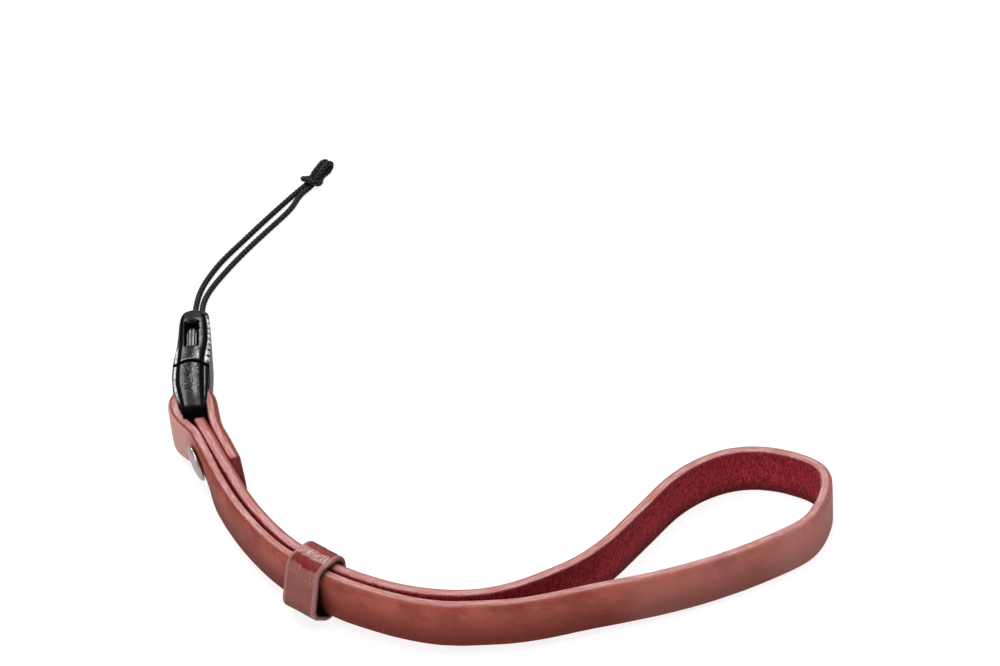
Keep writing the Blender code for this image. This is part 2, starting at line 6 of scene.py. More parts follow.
import bmesh
import bpy
import numpy as np
from mathutils import Matrix, Vector, noise


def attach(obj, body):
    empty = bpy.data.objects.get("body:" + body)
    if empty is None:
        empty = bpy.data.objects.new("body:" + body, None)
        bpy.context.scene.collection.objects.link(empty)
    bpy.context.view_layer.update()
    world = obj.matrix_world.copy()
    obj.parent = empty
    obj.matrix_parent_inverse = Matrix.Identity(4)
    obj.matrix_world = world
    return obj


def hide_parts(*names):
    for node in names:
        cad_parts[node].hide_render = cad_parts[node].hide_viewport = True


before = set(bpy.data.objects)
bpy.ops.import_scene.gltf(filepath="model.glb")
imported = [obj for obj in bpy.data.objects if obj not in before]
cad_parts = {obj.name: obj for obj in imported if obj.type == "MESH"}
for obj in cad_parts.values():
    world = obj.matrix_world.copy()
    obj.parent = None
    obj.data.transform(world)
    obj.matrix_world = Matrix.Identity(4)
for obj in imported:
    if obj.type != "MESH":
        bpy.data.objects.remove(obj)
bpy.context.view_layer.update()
MM = 0.001

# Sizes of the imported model
STRAP_WIDTH, STRAP_THICKNESS, LAYER_GAP, PRESSED_GAP, EDGE_LIFT = 10.0, 2.3, 0.45, 0.1, 1.8
FORK, LEAD_ACROSS, LEAD_BACK, LOOP_LENGTH, LOOP_WIDTH = (-27.1, -37.7), 34.0, 58.0, 89.0, 36.8
FOLD_RADIUS, BAR_ASIDE, FOLD_NARROWS, FOLD_BULGE = 3.55, 0.55, 10.5, 0.86
RIVET_AT, TAB_TAIL, STRIP_END_AT, LEAN_DEGREES, LEAN_FADES = 13.0, 7.9, 5.3, 7.5, 12.5
LAYER_PITCH = STRAP_THICKNESS + PRESSED_GAP
TAB_ASIDE = 1.5 * LAYER_PITCH
BAR_OFFSET = LAYER_PITCH / 2 + BAR_ASIDE
CLIP_MIDDLE_Z = EDGE_LIFT + STRAP_WIDTH / 2
CLIP_THICKNESS, CLIP_TOP, CLIP_SIDE_TOP, CLIP_SLANT = 5.6, 6.8, 6.1, math.tan(math.radians(4.0))
FOLD_POCKET_END, PLUG_END, SOCKET_START, SOCKET_END, RAIL_TAIL, RAIL_INSIDE = 5.0, 9.2, 9.7, 27.35, 6.2, 5.3
BAR_DIAMETER, WINDOW_ASIDE, WINDOW_WIDTH, WINDOW_START, WINDOW_END = 3.4, -0.5, 2.9, 14.9, 23.3
RIVET_CAP_DIAMETER, RIVET_CAP_HEIGHT, CAP_GAP, RIVET_POST_DIAMETER = 7.6, 1.15, 0.45, 2.6
KEEPER_AT, KEEPER_LENGTH, KEEPER_WALL, KEEPER_FOOT_WALL, KEEPER_CORNER = 10.55, 8.0, 1.2, 1.0, 1.6
KEEPER_SPLAY, KEEPER_RISE, KEEPER_CROWN, KEEPER_TOP_IN, KEEPER_FOOT_IN = 2.2, 2.5, 0.45, 0.4, 0.8
KEEPER_SIDE_GAP, SEAT_GAP, CORD_DIAMETER = 0.45, 0.3, 1.2

# Finer sizes that only the looks have
STEP, CORD_STEP, CLIP_STEP = 0.25, 0.1, 0.1
FAR_CAP_DIAMETER, SEAM_ROUND = 4.4, 0.4
SEAM_BOW, SEAM_BOW_FADES, SEAM_BOW_HALF = 0.7, 3.5, 3.0
NOTCH_PITCH, RIB_PITCH, RIB_SHIFT = 1.75, 0.72, 0.35

# The zone, in the leather's section marks, that stands for the strip's cut ends
CUT_ZONE = 15.0

# The seam between the two layers from the fork to the bar, as shares of LEAD_ACROSS and LEAD_BACK
LEAD_ROWS = (
    (0.0, 0.0),
    (0.129, 0.053),
    (0.256, 0.119),
    (0.382, 0.19),
    (0.497, 0.281),
    (0.606, 0.39),
    (0.688, 0.491),
    (0.75, 0.584),
    (0.809, 0.679),
    (0.876, 0.791),
    (0.944, 0.902),
    (1.0, 0.995),
)

# The inside of the wrist loop from the fork, as shares of LOOP_LENGTH and LOOP_WIDTH
LOOP_ROWS = (
    (0.083, -0.118),
    (0.165, -0.19),
    (0.248, -0.213),
    (0.333, -0.212),
    (0.46, -0.158),
    (0.587, -0.102),
    (0.702, -0.033),
    (0.804, 0.055),
    (0.894, 0.156),
    (0.951, 0.245),
    (0.982, 0.361),
    (0.999, 0.489),
    (0.996, 0.592),
    (0.958, 0.686),
    (0.898, 0.757),
    (0.828, 0.774),
    (0.756, 0.715),
    (0.696, 0.609),
    (0.642, 0.459),
    (0.584, 0.288),
    (0.528, 0.136),
    (0.465, 0.014),
    (0.378, -0.095),
    (0.292, -0.166),
    (0.208, -0.177),
    (0.125, -0.136),
)

# The cord's route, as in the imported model: half the hitch as along, aside and up, then the strands' points
HITCH, HITCH_WAY = (-35.7, 105.4), (0.62, 0.785)
HITCH_HALF = (
    (-4.0, 0.66, 0.64),
    (-1.6, 0.63, 0.62),
    (0.0, 0.61, 0.64),
    (1.4, 0.61, 1.15),
    (2.9, 0.61, 1.95),
    (4.6, 0.61, 2.45),
    (6.2, 0.61, 2.6),
    (7.3, 0.61, 1.65),
    (6.2, 0.61, 0.66),
    (4.6, 0.62, 0.62),
    (3.1, 0.86, 0.62),
    (2.0, 1.47, 0.62),
    (1.0, 1.83, 0.92),
    (0.1, 1.72, 1.55),
    (-0.3, 1.05, 1.96),
    (-0.3, 0.0, 2.02),
)
UPPER_STRAND = (
    (-60.5, 62.4, 1.2),
    (-60.3, 65.9, 0.62),
    (-59.4, 70.5, 0.62),
    (-57.6, 75.2, 0.62),
    (-55.0, 80.1, 0.62),
    (-51.1, 85.8, 0.62),
    (-46.7, 92.0, 0.62),
    (-42.3, 98.0, 0.62),
)
LOWER_STRAND = (
    (-59.2, 60.4, 1.0),
    (-59.0, 64.6, 0.62),
    (-57.7, 69.6, 0.62),
    (-55.1, 74.7, 0.62),
    (-51.1, 81.2, 0.62),
    (-46.8, 87.4, 0.62),
    (-42.6, 93.1, 0.62),
    (-39.4, 98.1, 0.62),
)
# Each end's way out of the clip, as aside, past the clip's end and up
UPPER_EXIT = ((0.0, -2.8, 1.3), (0.0, 1.0, 1.3), (-0.3, 5.0, -0.1), (-0.7, 9.5, -2.6))
LOWER_EXIT = ((0.0, -2.8, -1.3), (0.0, 1.0, -1.3), (0.1, 5.0, -2.3), (0.2, 9.5, -4.0))

# How far the clip's pieces reach, as shares of their length and, left and right, of half CLIP_THICKNESS
PLUG_ROWS = (
    (0.0, 1.22, 0.71),
    (0.12, 1.24, 0.71),
    (0.3, 1.25, 0.73),
    (0.55, 1.09, 0.77),
    (0.8, 0.84, 0.8),
    (0.94, 0.6, 0.73),
    (1.0, 0.25, 0.5),
)
SOCKET_ROWS = (
    (0.0, 1.2, 0.71),
    (0.2, 1.14, 0.82),
    (0.35, 1.08, 0.94),
    (0.65, 1.05, 0.94),
    (0.85, 0.99, 0.8),
    (0.96, 0.73, 0.5),
    (1.0, 0.42, 0.18),
)
PLUG_SIDE_ROWS = (
    (0.01, 1.52, 1.13),
    (0.2, 1.55, 1.11),
    (0.35, 1.45, 1.09),
    (0.52, 1.32, 1.02),
    (0.7, 1.0, 0.92),
    (0.8, 0.7, 0.72),
)
SOCKET_SIDE_ROWS = (
    (0.01, 1.52, 1.14),
    (0.2, 1.39, 1.18),
    (0.35, 1.27, 1.21),
    (0.65, 1.15, 1.21),
    (0.85, 1.05, 1.1),
    (0.95, 0.8, 0.96),
    (0.98, 0.6, 0.8),
)


def rows_smoothed(rows, step):
    """Points about a step apart on the natural cubic curve through the rows."""
    rows = np.array(rows, float)
    knots = run_lengths(rows)
    gaps = np.diff(knots)
    count = len(rows)
    system = np.eye(count)
    right = np.zeros_like(rows)
    for i in range(1, count - 1):
        system[i, i - 1 : i + 2] = gaps[i - 1], 2 * (gaps[i - 1] + gaps[i]), gaps[i]
        right[i] = 6 * ((rows[i + 1] - rows[i]) / gaps[i] - (rows[i] - rows[i - 1]) / gaps[i - 1])
    bends = np.linalg.solve(system, right)
    places = np.linspace(0, knots[-1], max(2, round(knots[-1] / step) + 1))
    span = np.clip(np.searchsorted(knots, places, side="right") - 1, 0, count - 2)
    after = ((places - knots[span]) / gaps[span])[:, None]
    before = 1 - after
    width = gaps[span][:, None] ** 2 / 6
    curve = before * rows[span] + after * rows[span + 1]
    return curve + width * ((before**3 - before) * bends[span] + (after**3 - after) * bends[span + 1])


def stacked(*parts):
    """Vectors of the parts, each spread to the shape that they share."""
    return np.stack(np.broadcast_arrays(*parts), -1)


def tangents(points):
    ways = np.gradient(points, axis=0)
    return ways / np.linalg.norm(ways, axis=1)[:, None]


def right_of(ways):
    return stacked(ways[:, 1], -ways[:, 0])


def run_lengths(points):
    return np.concatenate([[0], np.cumsum(np.linalg.norm(np.diff(points, axis=0), axis=1))])


def eased(share):
    share = np.clip(share, 0, 1)
    return share * share * (3 - 2 * share)


def between(value, low, high):
    """0 below low, 1 above high and eased between them."""
    return eased((value - low) / (high - low))


def within(value, low, full, last, high):
    """1 from full to last and 0 outside low and high."""
    return between(value, low, full) * (1 - between(value, last, high))


# The strip's route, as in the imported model
def seam_rows():
    return np.array([(FORK[0] - a * LEAD_ACROSS, FORK[1] + b * LEAD_BACK) for a, b in reversed(LEAD_ROWS)])


def seam_at(reach, aside=0.0):
    """The seam's place, reach from the bar and aside to its left, and the level way to its left."""
    line = rows_smoothed(seam_rows(), STEP)
    i = np.searchsorted(run_lengths(line), reach)
    left = -right_of(tangents(line))[i]
    return line[i] + left * aside, left


def freed(reach):
    """How far the layers have come apart and upright again, from 0 at the rivet to 1."""
    return eased((reach - RIVET_AT) / LEAN_FADES)


def lean_at(reach):
    return math.radians(LEAN_DEGREES) * eased(reach / RIVET_AT) * (1 - freed(reach))


def lean_shift(reach):
    """How far the lean moves the strip's middle aside."""
    return STRAP_WIDTH / 2 * np.sin(lean_at(reach))


def strip_route():
    """The strip's centre line from the tab's cut end to the far layer's: x, y and its lean."""
    # The fold's arc, how far past it the strip goes on, and what makes the bulge's peak 1
    turns, past_fold, to_peak = np.radians((26, 52, 78, 104, 130, 154)), 2.0, 6.75
    seam = seam_rows()
    gap = PRESSED_GAP + (LAYER_GAP - PRESSED_GAP) * freed(run_lengths(seam))
    sides = right_of(tangents(seam)) * gap[:, None] / 2
    loop = [(FORK[0] + a * LOOP_LENGTH, FORK[1] + b * LOOP_WIDTH) for a, b in LOOP_ROWS]
    inner = rows_smoothed([*(seam + sides), *loop, *(seam - sides)[::-1]], STEP)
    run = run_lengths(inner)
    left_to_run = run[-1] - run
    share = np.clip(run / FOLD_NARROWS, 0, 1)
    wide = FOLD_RADIUS - BAR_OFFSET - LAYER_PITCH / 2
    out = wide * (1 - eased(share)) + FOLD_BULGE * to_peak * share * (1 - share) ** 2
    outward = STRAP_THICKNESS / 2 + out - lean_shift(run) + lean_shift(left_to_run)
    strip = inner + right_of(tangents(inner)) * outward[:, None]
    strip = np.column_stack([strip, lean_at(run) - lean_at(left_to_run)])[left_to_run >= STRIP_END_AT]
    tab = []
    for reach in np.linspace(RIVET_AT + TAB_TAIL, 0, 9):
        side = TAB_ASIDE + (BAR_OFFSET + FOLD_RADIUS - TAB_ASIDE) * (1 - eased(reach / FOLD_NARROWS))
        tab.append((*seam_at(reach, side + lean_shift(reach))[0], -lean_at(reach)))
    centre, left = seam_at(0.0, BAR_OFFSET)
    back = right_of(left[None])[0]
    arc = [(*(centre + FOLD_RADIUS * (math.cos(a) * left - math.sin(a) * back)), 0.0) for a in turns]
    after = strip[run_lengths(strip[:, :2]) > past_fold]
    return rows_smoothed([*tab, *arc, *after[::8], strip[-1]], STEP)


def edge_height(x):
    return EDGE_LIFT * (1 - eased((x - FORK[0]) / LOOP_LENGTH))


def rivet_place():
    place, left = seam_at(RIVET_AT, lean_shift(RIVET_AT))
    lean = lean_at(RIVET_AT)
    return Vector((*place, CLIP_MIDDLE_Z)), Vector((*(left * math.cos(lean)), math.sin(lean)))


def cord_route():
    """The cord's own points: out of the upper hole, through the hitch and back into the lower hole."""
    bar = seam_at(0.0, BAR_OFFSET)[0]
    mouth = bar[1] + SOCKET_END
    way = np.array(HITCH_WAY) / np.linalg.norm(HITCH_WAY)
    side = right_of(way[None])[0]

    def leaving(rows):
        aside, past, up = np.array(rows).T
        return stacked(bar[0] + aside + up * CLIP_SLANT, mouth + past, CLIP_MIDDLE_Z + up)

    def hitch(turn):
        return [(*(HITCH + way * along + side * aside * turn), up) for along, aside, up in HITCH_HALF]

    first = [*leaving(UPPER_EXIT), *UPPER_STRAND, *hitch(-1)]
    second = [*leaving(LOWER_EXIT), *LOWER_STRAND, *hitch(1)[:-1]]
    return [*first, *second[::-1]]


# Making meshes
def new_object(name, data):
    made = bpy.data.objects.new(name, data)
    bpy.context.scene.collection.objects.link(made)
    return made


def tube_object(name, material, *tubes, closed_along=False):
    """A piece made of tubes, closed on themselves or capped. Each is a grid of rings of points and the
    section marks of each point, or of all, or None."""
    faces, before = [], 0
    for grid, _ in tubes:
        rings, around = grid.shape[:2]
        at = np.arange(before, before + rings * around).reshape(rings, around).tolist()
        for here, there in zip(at, at[1:] + at[:closed_along]):
            faces += zip(here, here[1:] + here[:1], there[1:] + there[:1], there)
        if not closed_along:
            faces += [at[0][::-1], at[-1]]
        before += rings * around
    mesh = bpy.data.meshes.new(name)
    points = np.concatenate([grid.reshape(-1, 3) for grid, _ in tubes])
    mesh.from_pydata((points * MM).tolist(), [], faces)
    if tubes[0][1] is not None:
        layer = mesh.attributes.new("section", "FLOAT_VECTOR", "POINT")
        marks = np.concatenate([np.broadcast_to(marks, grid.shape).reshape(-1, 3) for grid, marks in tubes])
        layer.data.foreach_set("vector", marks.reshape(-1).astype(np.float32))
    work = bmesh.new()
    work.from_mesh(mesh)
    bmesh.ops.recalc_face_normals(work, faces=work.faces)
    work.to_mesh(mesh)
    work.free()
    mesh.shade_smooth()
    mesh.materials.append(material)
    return new_object(name, mesh)


def arc_points(centre, radius, start, end, steps):
    angles = np.radians(np.linspace(start, end, steps + 1))
    return [(centre[0] + radius * math.cos(a), centre[1] + radius * math.sin(a)) for a in angles]


def strip_profile():
    """The strip's section, from the middle of its outer face up and round: points and their zone.
    The zone is the way round from the outer face's middle to the inner face's, the same for both halves."""
    half_thick, half_tall = STRAP_THICKNESS / 2, STRAP_WIDTH / 2
    outer_round, inner_round, crown = 0.9, 0.42, 0.05
    tall = half_tall - outer_round
    flat_start, flat_end = half_thick - outer_round, -half_thick + inner_round
    upper = [(half_thick, t * tall) for t in np.linspace(0, 1, 8)[:-1]]
    upper += arc_points((flat_start, tall), outer_round, 0, 90, 8)
    upper += [(x, half_tall) for x in np.linspace(flat_start, flat_end, 6)[1:-1]]
    upper += arc_points((flat_end, half_tall - inner_round), inner_round, 90, 180, 5)
    upper += [(-half_thick, t * (half_tall - inner_round)) for t in np.linspace(1, 0, 12)[1:]]
    upper = np.array(upper)
    zone = run_lengths(upper)
    whole = np.vstack([upper, (upper * (1, -1))[-2:0:-1]])
    whole[:, 0] += crown * (1 - (whole[:, 1] / half_tall) ** 2) * np.sign(whole[:, 0])
    return whole, np.concatenate([zone, zone[-2:0:-1]])


def rough(points, scale, seed):
    """Smooth noise between about -1 and 1 at each point, for bumps a scale long."""
    shift = Vector((seed * 17.3, seed * 5.1, seed * 9.7))
    values = [noise.noise(Vector(p) / scale + shift) for p in points.reshape(-1, 3)]
    return np.array(values).reshape(points.shape[:-1])


# Node trees
class Tree:
    """Short calls for the nodes of a material or the sky. A value is a number, a colour or a node's socket.
    Patterns lie in millimetres, by the object's place or by the section marks that its mesh carries."""

    def __init__(self, name, kind="materials", shader="Principled BSDF"):
        self.made = getattr(bpy.data, kind).new(name)
        self.made.use_nodes = True
        self.nodes, self.links = self.made.node_tree.nodes, self.made.node_tree.links
        self.shader = self.nodes[shader]
        self.places = self.add("ShaderNodeTexCoord").outputs

    def add(self, kind, values=(), **settings):
        node = self.nodes.new(kind)
        for name, value in settings.items():
            setattr(node, name, value)
        for name, value in dict(values).items():
            self.put(node.inputs[name], value)
        return node

    def put(self, socket, value):
        if isinstance(value, bpy.types.NodeSocket):
            self.links.new(value, socket)
        elif socket.type == "RGBA":
            socket.default_value = (*np.broadcast_to(value, 3), 1.0)
        else:
            socket.default_value = value

    def surface(self, name, value):
        self.put(self.shader.inputs[name], value)

    def section_marks(self):
        """The mesh's section marks, as one vector and as its three parts."""
        section = self.add("ShaderNodeAttribute", attribute_name="section").outputs["Vector"]
        return section, self.add("ShaderNodeSeparateXYZ", {"Vector": section}).outputs

    def stretched(self, scale=(1, 1, 1), source=None):
        """The object's place, or the source, times a scale for each axis."""
        if source is None:
            source, scale = self.places["Object"], tuple(s / MM for s in scale)
        return self.add("ShaderNodeMapping", {"Vector": source, "Scale": scale}).outputs["Vector"]

    def noise(self, vector, scale, detail=3.0, roughness=0.55, distortion=0.0):
        values = {"Vector": vector, "Scale": scale, "Detail": detail}
        values |= {"Roughness": roughness, "Distortion": distortion}
        return self.add("ShaderNodeTexNoise", values).outputs["Fac"]

    def cells(self, vector, scale):
        return self.add("ShaderNodeTexVoronoi", {"Vector": vector, "Scale": scale}).outputs["Distance"]

    def math(self, operation, a, b=0.0):
        return self.add("ShaderNodeMath", {0: a, 1: b}, operation=operation).outputs[0]

    def times(self, a, b):
        return self.math("MULTIPLY", a, b)

    def plus(self, a, b):
        return self.math("ADD", a, b)

    def minus(self, a, b):
        return self.math("SUBTRACT", a, b)

    def ramp(self, value, low, high, to_low=0.0, to_high=1.0):
        values = {"Value": value, "From Min": low, "From Max": high, "To Min": to_low, "To Max": to_high}
        return self.add("ShaderNodeMapRange", values, interpolation_type="SMOOTHSTEP").outputs[0]

    def mix(self, share, a, b):
        return self.add("ShaderNodeMix", {0: share, 6: a, 7: b}, data_type="RGBA").outputs[2]

    def bump(self, height, depth):
        values = {"Height": height, "Distance": depth * MM, "Strength": 1.0}
        self.surface("Normal", self.add("ShaderNodeBump", values).outputs["Normal"])


def strap_leather(keeper_at):
    """Dyed leather: a smooth face, streaks of wear and painted highlight along the edge and a fibrous flesh
    side. The face carries painted light on the fold and the loop's far end, and painted shade towards the
    bottom and by the keeper.
    The section marks are the run along the strip, the zone round it and the height, from -1 to 1."""
    face, face_dark_and_shade, face_painted_light = (0.43, 0.094, 0.064), (0.165, 0.016, 0.007), (0.74, 0.43, 0.37)
    edge, edge_painted_highlight = (0.47, 0.18, 0.163), (0.69, 0.46, 0.45)
    flesh, flesh_light, flesh_low = (0.17, 0.003, 0.007), (0.5, 0.046, 0.06), (0.055, 0.003, 0.004)
    cut_low, cut_high, keeper_shade = (0.1, 0.016, 0.014), (0.34, 0.085, 0.075), (0.03, 0.004, 0.003)
    # The zones where the shoulder line, the edge and the flesh side begin
    line, start, end = 4.85, 5.6, 7.0
    # First, last and share of the runs painted paler as light: the fold's face, lit from the left, and the
    # loop's far end
    painted_light_runs = ((21.0, 49.0, 0.66), (150.0, 222.0, 0.12), (180.0, 222.0, 0.16))
    wrinkled_run = (186.0, 222.0)
    shaded_run = (keeper_at - 4.6, keeper_at + 4.5)

    t = Tree("strap_leather_detail")
    section, (run, zone, height) = t.section_marks()
    here = t.stretched()
    wander = t.noise(here, 1.3)
    zone_here = t.plus(zone, t.times(t.minus(wander, 0.5), 0.5))
    on_edge = t.ramp(zone, line, start)
    on_flesh = t.ramp(zone_here, end - 0.1, end + 0.08)

    def stretch(first, last, soft=9.0):
        return t.times(t.ramp(run, first, first + soft), t.ramp(run, last - soft, last, 1.0, 0.0))

    mottle = t.noise(here, 0.13, 4.0, 0.6)
    fine = t.noise(here, 3.2, 3.0, 0.6)
    pores = t.cells(here, 2.6)
    # Painted shade: the face darkens towards the bottom, its line broken by the mottle; the same dark tone is
    # also mottled in at random.
    low = t.ramp(t.plus(height, t.times(mottle, 0.6)), -0.6, 1.0, 1.0, 0.0)
    skin = t.mix(low, face, face_dark_and_shade)
    skin = t.mix(t.ramp(mottle, 0.35, 0.65, 0.0, 0.55), skin, face_dark_and_shade)
    # Painted light: these runs of the face are mixed towards a paler tone.
    for first, last, share in painted_light_runs:
        skin = t.mix(t.times(stretch(first, last), share), skin, face_painted_light)
    skin = t.mix(t.ramp(fine, 0.5, 0.8, 0.0, 0.22), skin, edge)
    lines = t.noise(t.stretched((1.6, 0.0, 0.25), section), 1.0, 3.0, 0.6)
    wrinkled = t.times(stretch(*wrinkled_run), t.ramp(lines, 0.4, 0.62, 0.45, 0.0))
    skin = t.mix(wrinkled, skin, face)

    streaks = t.noise(t.stretched((0.3, 2.6, 2.6), section), 1.0, 4.0, 0.6)
    # The edge's streaks: streaks of wear in the edge's own tone, then paler streaks that are painted
    # highlight.
    wear_and_painted_highlight = t.mix(t.ramp(streaks, 0.26, 0.5), face, edge)
    wear_and_painted_highlight = t.mix(t.ramp(streaks, 0.44, 0.7, 0.05, 0.62), wear_and_painted_highlight, edge_painted_highlight)
    near_line = t.math("ABSOLUTE", t.minus(zone_here, (line + start) / 2))
    near_line = t.times(t.ramp(near_line, 0.1, 0.45, 0.8, 0.0), t.ramp(run, 60.0, 120.0, 1.0, 0.2))
    edged = t.mix(on_edge, skin, wear_and_painted_highlight)
    edged = t.mix(near_line, edged, face_dark_and_shade)
    # The flesh colour reaches round the edge's inner corner, widened into a dark line that is painted shade
    # between the layers.
    rim = t.ramp(t.math("ABSOLUTE", t.minus(zone_here, end - 0.05)), 0.1, 0.42, 0.85, 0.0)
    edged = t.mix(rim, edged, flesh)

    fibre = t.noise(t.stretched((4.2, 4.2, 1.1)), 1.0, 5.0, 0.7, 0.4)
    nap = t.noise(t.stretched((6.0, 6.0, 2.4)), 1.0, 4.0, 0.7, 0.3)
    raw = t.mix(t.ramp(fibre, 0.4, 0.62), flesh, flesh_light)
    raw = t.mix(t.ramp(nap, 0.5, 0.8, 0.0, 0.4), raw, flesh_light)
    raw = t.mix(t.ramp(t.plus(height, wander), -0.4, 0.4, 0.75, 0.0), raw, flesh_low)
    cut = t.mix(t.ramp(height, -1.0, 1.0), cut_low, cut_high)
    cut = t.mix(t.ramp(fibre, 0.4, 0.62, 0.35, 0.0), cut, flesh)
    raw = t.mix(t.ramp(zone, CUT_ZONE - 2.5, CUT_ZONE - 1.0), raw, cut)
    coloured = t.mix(on_flesh, edged, raw)
    shade = t.times(stretch(*shaded_run, 0.9), t.ramp(height, 0.55, 1.0, 0.93, 0.25))
    shade = t.times(shade, t.ramp(zone, 5.2, 5.8, 1.0, 0.0))
    coloured = t.mix(shade, coloured, keeper_shade)
    t.surface("Base Color", coloured)

    shine = t.mix(on_edge, 0.54, 0.38)
    shine = t.mix(t.ramp(fine, 0.35, 0.75, 0.0, 0.4), shine, 0.68)
    t.surface("Roughness", t.mix(on_flesh, shine, 0.92))
    t.surface("Specular IOR Level", 0.2)

    hollows = t.times(t.ramp(pores, 0.0, 0.35), 0.5)
    grain = t.plus(hollows, t.times(fine, 0.6))
    grain = t.plus(grain, t.times(lines, 1.1))
    grain = t.plus(grain, t.times(t.times(streaks, on_edge), 2.2))
    grain = t.times(grain, t.minus(1.0, on_flesh))
    fuzz = t.plus(fibre, t.times(nap, 0.7))
    fuzz = t.times(fuzz, t.times(on_flesh, 3.2))
    t.bump(t.plus(grain, fuzz), 0.04)
    return t.made


def black_plastic():
    """Moulded plastic with painted glints on its grain. The section marks are how grained it is, how much
    painted shade it carries and how much painted highlight it carries.
    """
    # The grey of the painted glints, the paler grey of the painted highlights and the near-black of the
    # painted shade.
    black, glint_speckle, wear_and_painted_highlight, unlit = 0.002, (0.215, 0.212, 0.215), 0.68, 0.001
    t = Tree("clip_plastic_detail")
    _, (grained, dark, painted_highlight) = t.section_marks()
    here = t.stretched()
    grain = t.noise(here, 1.9, 1.5, 0.8)
    pits = t.cells(here, 2.6)
    cloud = t.noise(here, 0.35)
    # Painted glints: bright specks on the grain, standing for light caught by its bumps.
    light = t.times(t.ramp(grain, 0.57, 0.65), grained)
    light = t.times(light, t.ramp(cloud, 0.35, 0.6, 0.25, 1.0))
    colour = t.mix(light, black, glint_speckle)
    # Painted highlight: ledges, ribs and rims are mixed towards a paler grey.
    colour = t.mix(t.times(painted_highlight, t.ramp(grain, 0.35, 0.6, 0.35, 1.0)), colour, wear_and_painted_highlight)
    t.surface("Base Color", t.mix(dark, colour, unlit))
    gloss = t.ramp(cloud, 0.3, 0.7, 0.22, 0.3)
    t.surface("Roughness", t.plus(gloss, t.times(dark, 0.5)))
    t.surface("Specular IOR Level", t.ramp(dark, 0.0, 1.0, 0.22, 0.03))
    height = t.plus(grain, t.times(pits, 0.8))
    t.bump(t.times(height, t.plus(grained, 0.02)), 0.025)
    return t.made


def braid_fibre():
    """Black polyester yarn: fine threads along the braid, painted shade in the valleys between them and a soft
    sheen.
    The section marks are the place across the threads, how tall they stand and the run along the cord."""
    black, grey, dusty, valley_shade = (0.016, 0.016, 0.017), (0.08, 0.08, 0.082), 0.04, 0.001
    t = Tree("cord_braid_detail")
    section, (_, tall, _) = t.section_marks()
    threads = t.noise(t.stretched((14.0, 0.0, 2.0), section), 1.0, 2.0, 0.6)
    cloud = t.noise(t.stretched(), 0.8, 2.0)
    yarn = t.mix(t.ramp(threads, 0.35, 0.7), black, grey)
    yarn = t.mix(t.ramp(cloud, 0.4, 0.8, 0.0, 0.3), yarn, dusty)
    # Painted shade: the valleys between the threads are near-black.
    t.surface("Base Color", t.mix(t.ramp(tall, 0.7, 1.0), valley_shade, yarn))
    t.surface("Roughness", 0.62)
    t.surface("Specular IOR Level", 0.22)
    t.surface("Sheen Weight", 0.04)
    t.surface("Sheen Roughness", 0.4)
    t.bump(threads, 0.03)
    return t.made


def rivet_metal():
    """Nickel plate, softly brushed by wear."""
    nickel, scuffed = (0.6, 0.51, 0.5), (0.7, 0.62, 0.61)
    t = Tree("rivet_metal_detail")
    scuffs = t.noise(t.stretched((5.0, 5.0, 0.8)), 1.0, 4.0, 0.65)
    t.surface("Base Color", t.mix(t.ramp(scuffs, 0.4, 0.75), nickel, scuffed))
    t.surface("Metallic", 0.9)
    t.surface("Roughness", t.ramp(scuffs, 0.35, 0.75, 0.22, 0.36))
    t.bump(scuffs, 0.004)
    return t.made


